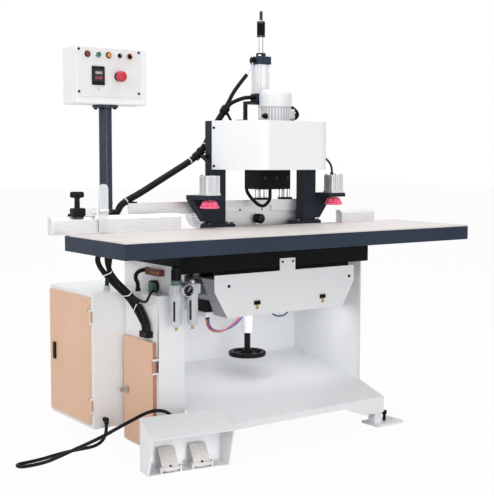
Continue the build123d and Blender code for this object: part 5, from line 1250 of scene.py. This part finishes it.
# %% [markdown]
# Dark joints part the wear plates, thin strips set flush between them. On the post, a brown terminal strip
# has six brass screws with ribs between them.

# %% Plate seams and terminal screws
seams = [block(seam_dark, at(x, 0.004, 0.8443), at(x + 0.0015, 0.439, 0.8496), 0.0003)
         for x in (0.326, 0.6515, 0.977, 1.3025)]
place(joined(*seams), "plate_seams", "machine", "black_plastic")
terminals = []
for step in range(6):
    y = 0.422 + step * 0.0168
    terminals += [
        turned(brass, at(0.3762, y, 0.686), -right, 16, [(0, 0.0045), (0.0012, 0.0045), (0.0016, 0.0038)]),
        block(terminal_brown, at(0.374, y + 0.0074, 0.676), at(0.3765, y + 0.0094, 0.696), 0.0004)]
place(joined(*terminals), "terminal_screws", "machine", "bare_steel")

# %% [markdown]
# The under cover's front is a flat sheet with a tab. It stands straight for a hand's breadth and then tapers
# down to a narrower foot. A thin box is joined with a small one for the tab, and two bisects cut the taper.

# %% Cover front
front_y, rear_y = cover_y - 0.0008, cover_y + 0.0006
cover_low, cover_kink, cover_high = 0.508, 0.612, 0.677
half_width, half_foot = 0.355, 0.2935
cover_front = block(white_enamel, at(gantry_x - half_width, front_y, cover_low),
                    at(gantry_x + half_width, rear_y, cover_high), 0)
cover_tab = block(white_enamel, at(0.873, front_y, 0.65), at(0.947, rear_y, 0.726), 0)
combined(cover_front, "UNION", cover_tab)
open_mesh(cover_front)
for side in (-1, 1):
    kink = at(gantry_x + side * half_width, cover_y, cover_kink)
    taper = kink - at(gantry_x + side * half_foot, cover_y, cover_low)
    bpy.ops.mesh.select_all(action="SELECT")
    bpy.ops.mesh.bisect(plane_co=kink, plane_no=(side * taper.z, 0, -abs(taper.x)), use_fill=True,
                        clear_outer=True)
place(eased(close_mesh(cover_front), 0.0005, 60), "cover_front", "machine", "white_paint")

# %% [markdown]
# Inside the cabinet and beside the post sits the electric gear. One unit of each row is modelled, a body with
# a nose, a coloured key and terminal screws, and then copied along its row.

# %% Control gear
gear_parts = [block(satin_grey, at(0.433, 0.63, 0.098), at(0.437, 0.952, 0.572), 0.001),
              block(terminal_brown, at(0.376, 0.412, 0.674), at(0.4, 0.516, 0.698), 0.002),
              block(relay_green, at(0.37, 0.466, 0.61), at(0.4, 0.488, 0.648), 0.003),
              block(black_plastic, at(0.376, 0.465, 0.647), at(0.4, 0.489, 0.653), 0.001),
              block(black_plastic, at(0.59, 0.408, 0.52), at(0.68, 0.474, 0.566), 0.003),
              block(grey_plastic, at(0.596, 0.412, 0.565), at(0.674, 0.47, 0.582), 0.003)]
gear_face, unit_step = 0.386, back * 0.068
for low, high, body_finish, key_finish in ((0.138, 0.21, black_plastic, tie_white),
                                           (0.278, 0.364, grey_plastic, black_plastic),
                                           (0.418, 0.478, terminal_brown, grey_plastic)):
    unit = [block(body_finish, at(gear_face, 0.662, low), at(0.433, 0.716, high), 0.0025),
            block(body_finish, at(0.37, 0.667, low + 0.016), at(0.387, 0.711, high - 0.016), 0.002),
            block(key_finish, at(0.367, 0.683, low + 0.022), at(0.371, 0.695, high - 0.022), 0.001)]
    for y in (0.673, 0.689, 0.705):
        for z in (low + 0.008, high - 0.008):
            unit.append(turned(ground_steel, at(gear_face, y, z), -right, 14, [
                (0, 0.004), (0.002, 0.004), (0.0026, 0.003)]))
    first_unit = joined(*unit)
    gear_parts += [another(first_unit, unit_step * step) for step in (1, 2, 3)] + [first_unit]
place(joined(*gear_parts), "control_gear_units", "machine", "black_plastic", "control_gear")

# %% [markdown]
# No folded sheet or casting has a knife edge. The big pieces are copied from their solids, their doubled
# corners merged, and the flat faces freed of needless edges, so that a narrow bevel can run round every sharp
# edge. Weighted normals keep the flats flat.

# %% Softened sheet and castings
shortest_edge = 0.008
sharp_angle = math.radians(40)


def softened(name, body, slot, width):
    """A copy of a node with narrow round edges."""
    source = nodes[name]
    data = source.data.copy()
    data.transform(source.matrix_world)
    made = add_object(name + "_soft", data)
    take(made)
    bpy.ops.mesh.customdata_custom_splitnormals_clear()
    open_mesh(made)
    bpy.ops.mesh.remove_doubles(threshold=0.00001)
    bpy.ops.mesh.dissolve_limited(angle_limit=math.radians(0.5), delimit={"MATERIAL"})
    choose(made, lambda edge: edge.calc_length() > shortest_edge and len(edge.link_faces) == 2
           and edge.calc_face_angle() > sharp_angle, "EDGE")
    bpy.ops.mesh.bevel(offset=width, segments=2, affect="EDGES", clamp_overlap=False)
    place(close_mesh(made), name + "_soft", body, slot, name, angle=25)


soft_nodes = (("machine", "slate_paint", 0.0015, "work_table"),
              ("machine", "black_paint", 0.002, "subframe_beams"),
              ("machine", "white_paint", 0.0012, "base_left_post", "base_panels", "foot_plates"),
              ("machine", "white_paint", 0.001, "cabinet_shell"),
              ("machine", "slate_paint", 0.0015, "gantry_frame", "clamp_arms"),
              ("machine", "white_paint", 0.001, "under_cover", "pedal_guard"),
              ("machine", "bare_aluminium", 0.001, "fence_rails"),
              ("machine", "white_paint", 0.0015, "lift_bed"),
              ("machine", "plate_grey", 0.0006, "table_plates"),
              ("cabinet_door", "peach_paint", 0.0008, "cabinet_door"),
              ("side_door", "peach_paint", 0.0008, "side_door"),
              ("drill_head", "black_paint", 0.0015, "drill_block", "drill_carriage"),
              ("lift", "bare_steel", 0.0015, "lift_plate"),
              ("cross", "bare_steel", 0.0015, "cross_slide"),
              ("cross", "bare_aluminium", 0.001, "spindle_shield"),
              ("plunge", "bare_aluminium", 0.0015, "plunge_saddle"))
for body, slot, width, *names in soft_nodes:
    for name in names:
        softened(name, body, slot, width)

# %% [markdown]
# White cable ties hold the hoses together. Each is a flat ring round the hose with a small square head. Its
# place and direction are read from the hose's own curve, so the tie sits square on it.

# %% Cable ties
tie_thick, tie_flat, head_half = 0.0011, 2.2, 0.003


def along(name, share):
    """The point and direction at a share of a cord's length, read from its curve without thickness."""
    line = bpy.data.objects[name].copy()
    line.data = line.data.copy()
    line.data.bevel_depth = 0
    bpy.context.scene.collection.objects.link(line)
    mesh = bpy.data.meshes.new_from_object(line.evaluated_get(bpy.context.evaluated_depsgraph_get()))
    points = [vert.co.copy() for vert in mesh.vertices]
    bpy.data.objects.remove(line)
    spot = min(int(share * (len(points) - 1)), len(points) - 2)
    return points[spot], (points[spot + 1] - points[spot]).normalized()


def tie_ring(radius, segments, **where):
    """The band of a tie: a thin ring drawn out along its own axis."""
    fresh()
    bpy.ops.mesh.primitive_torus_add(major_radius=radius, minor_radius=tie_thick, major_segments=segments,
                                     minor_segments=8, **where)
    bpy.ops.transform.resize(value=(1, 1, tie_flat), orient_type="LOCAL")
    return paint(settle(), tie_white)


def hose_tie(cord_name, share, radius, name):
    """A tie round a hose."""
    spot, direction = along(cord_name, share)
    ring = tie_ring(radius, 40, location=spot, rotation=direction.to_track_quat("Z", "Y").to_euler())
    head_spot = spot + direction.cross(back).normalized() * radius
    half = Vector((head_half, head_half, head_half))
    head = block(tie_white, head_spot - half, head_spot + half, 0.001)
    place(joined(ring, head), name, "machine", "plate_grey")


for number, share in enumerate((0.24, 0.6, 0.76)):
    hose_tie("upper_hose", share, 0.0135, f"hose_tie_{number}")

# %% [markdown]
# The two lower hoses share their ties. Such a tie is a ring that is cut in two halves and pulled apart by the
# distance between the hoses, then turned from the origin to its place with one matrix.

# %% Ties round a pair
def pair_tie(first_cord, first_share, second_cord, second_share, radius, name):
    """One longer tie round two hoses that lie side by side."""
    first, direction = along(first_cord, first_share)
    second, _ = along(second_cord, second_share)
    across = (second - first) - direction * (second - first).dot(direction)
    half = across.length / 2
    tie_place = Matrix.Translation(first + across / 2)
    across.normalize()
    ring = tie_ring(radius, 48)
    open_mesh(ring)
    for side in (1, -1):
        choose(ring, lambda face: face.calc_center_median().x * side > 0)
        bpy.ops.transform.translate(value=(side * half, 0, 0))
    close_mesh(ring)
    head_x = half * 0.4
    head = block(tie_white, (head_x - head_half, -radius - 0.004, -head_half),
                 (head_x + head_half, -radius + 0.001, head_half), 0.001)
    tie = joined(ring, head)
    tie.matrix_world = tie_place @ Matrix((across, direction.cross(across), direction)).transposed().to_4x4()
    place(tie, name, "machine", "plate_grey")


for number, (left_share, right_share) in enumerate(((0.33, 0.33), (0.55, 0.57), (0.74, 0.76))):
    pair_tie("lower_hose_left", left_share, "lower_hose_right", right_share, 0.0112, f"pair_tie_{number}")

# %% [markdown]
# Partway up the upper hose sits a black tee with a short branch. Its sleeve follows the hose's direction at
# that point, and the branch has eight sides, like a nut to be gripped with a spanner.

# %% Hose tee
tee_spot, tee_way = along("upper_hose", 0.68)
tee = turned(black_plastic, tee_spot - tee_way * 0.022, tee_way, 28, [
    (0, 0.0138), (0.001, 0.0175), (0.012, 0.0175), (0.0125, 0.0155), (0.0315, 0.0155), (0.032, 0.0175),
    (0.043, 0.0175), (0.044, 0.0138)])
branch = turned(black_plastic, tee_spot, (0.45, -0.75, -0.5), 8, [
    (0.01, 0.009), (0.03, 0.009), (0.0305, 0.0105), (0.042, 0.0105), (0.043, 0.008)])
place(joined(tee, branch), "hose_tee", "machine", "black_plastic")
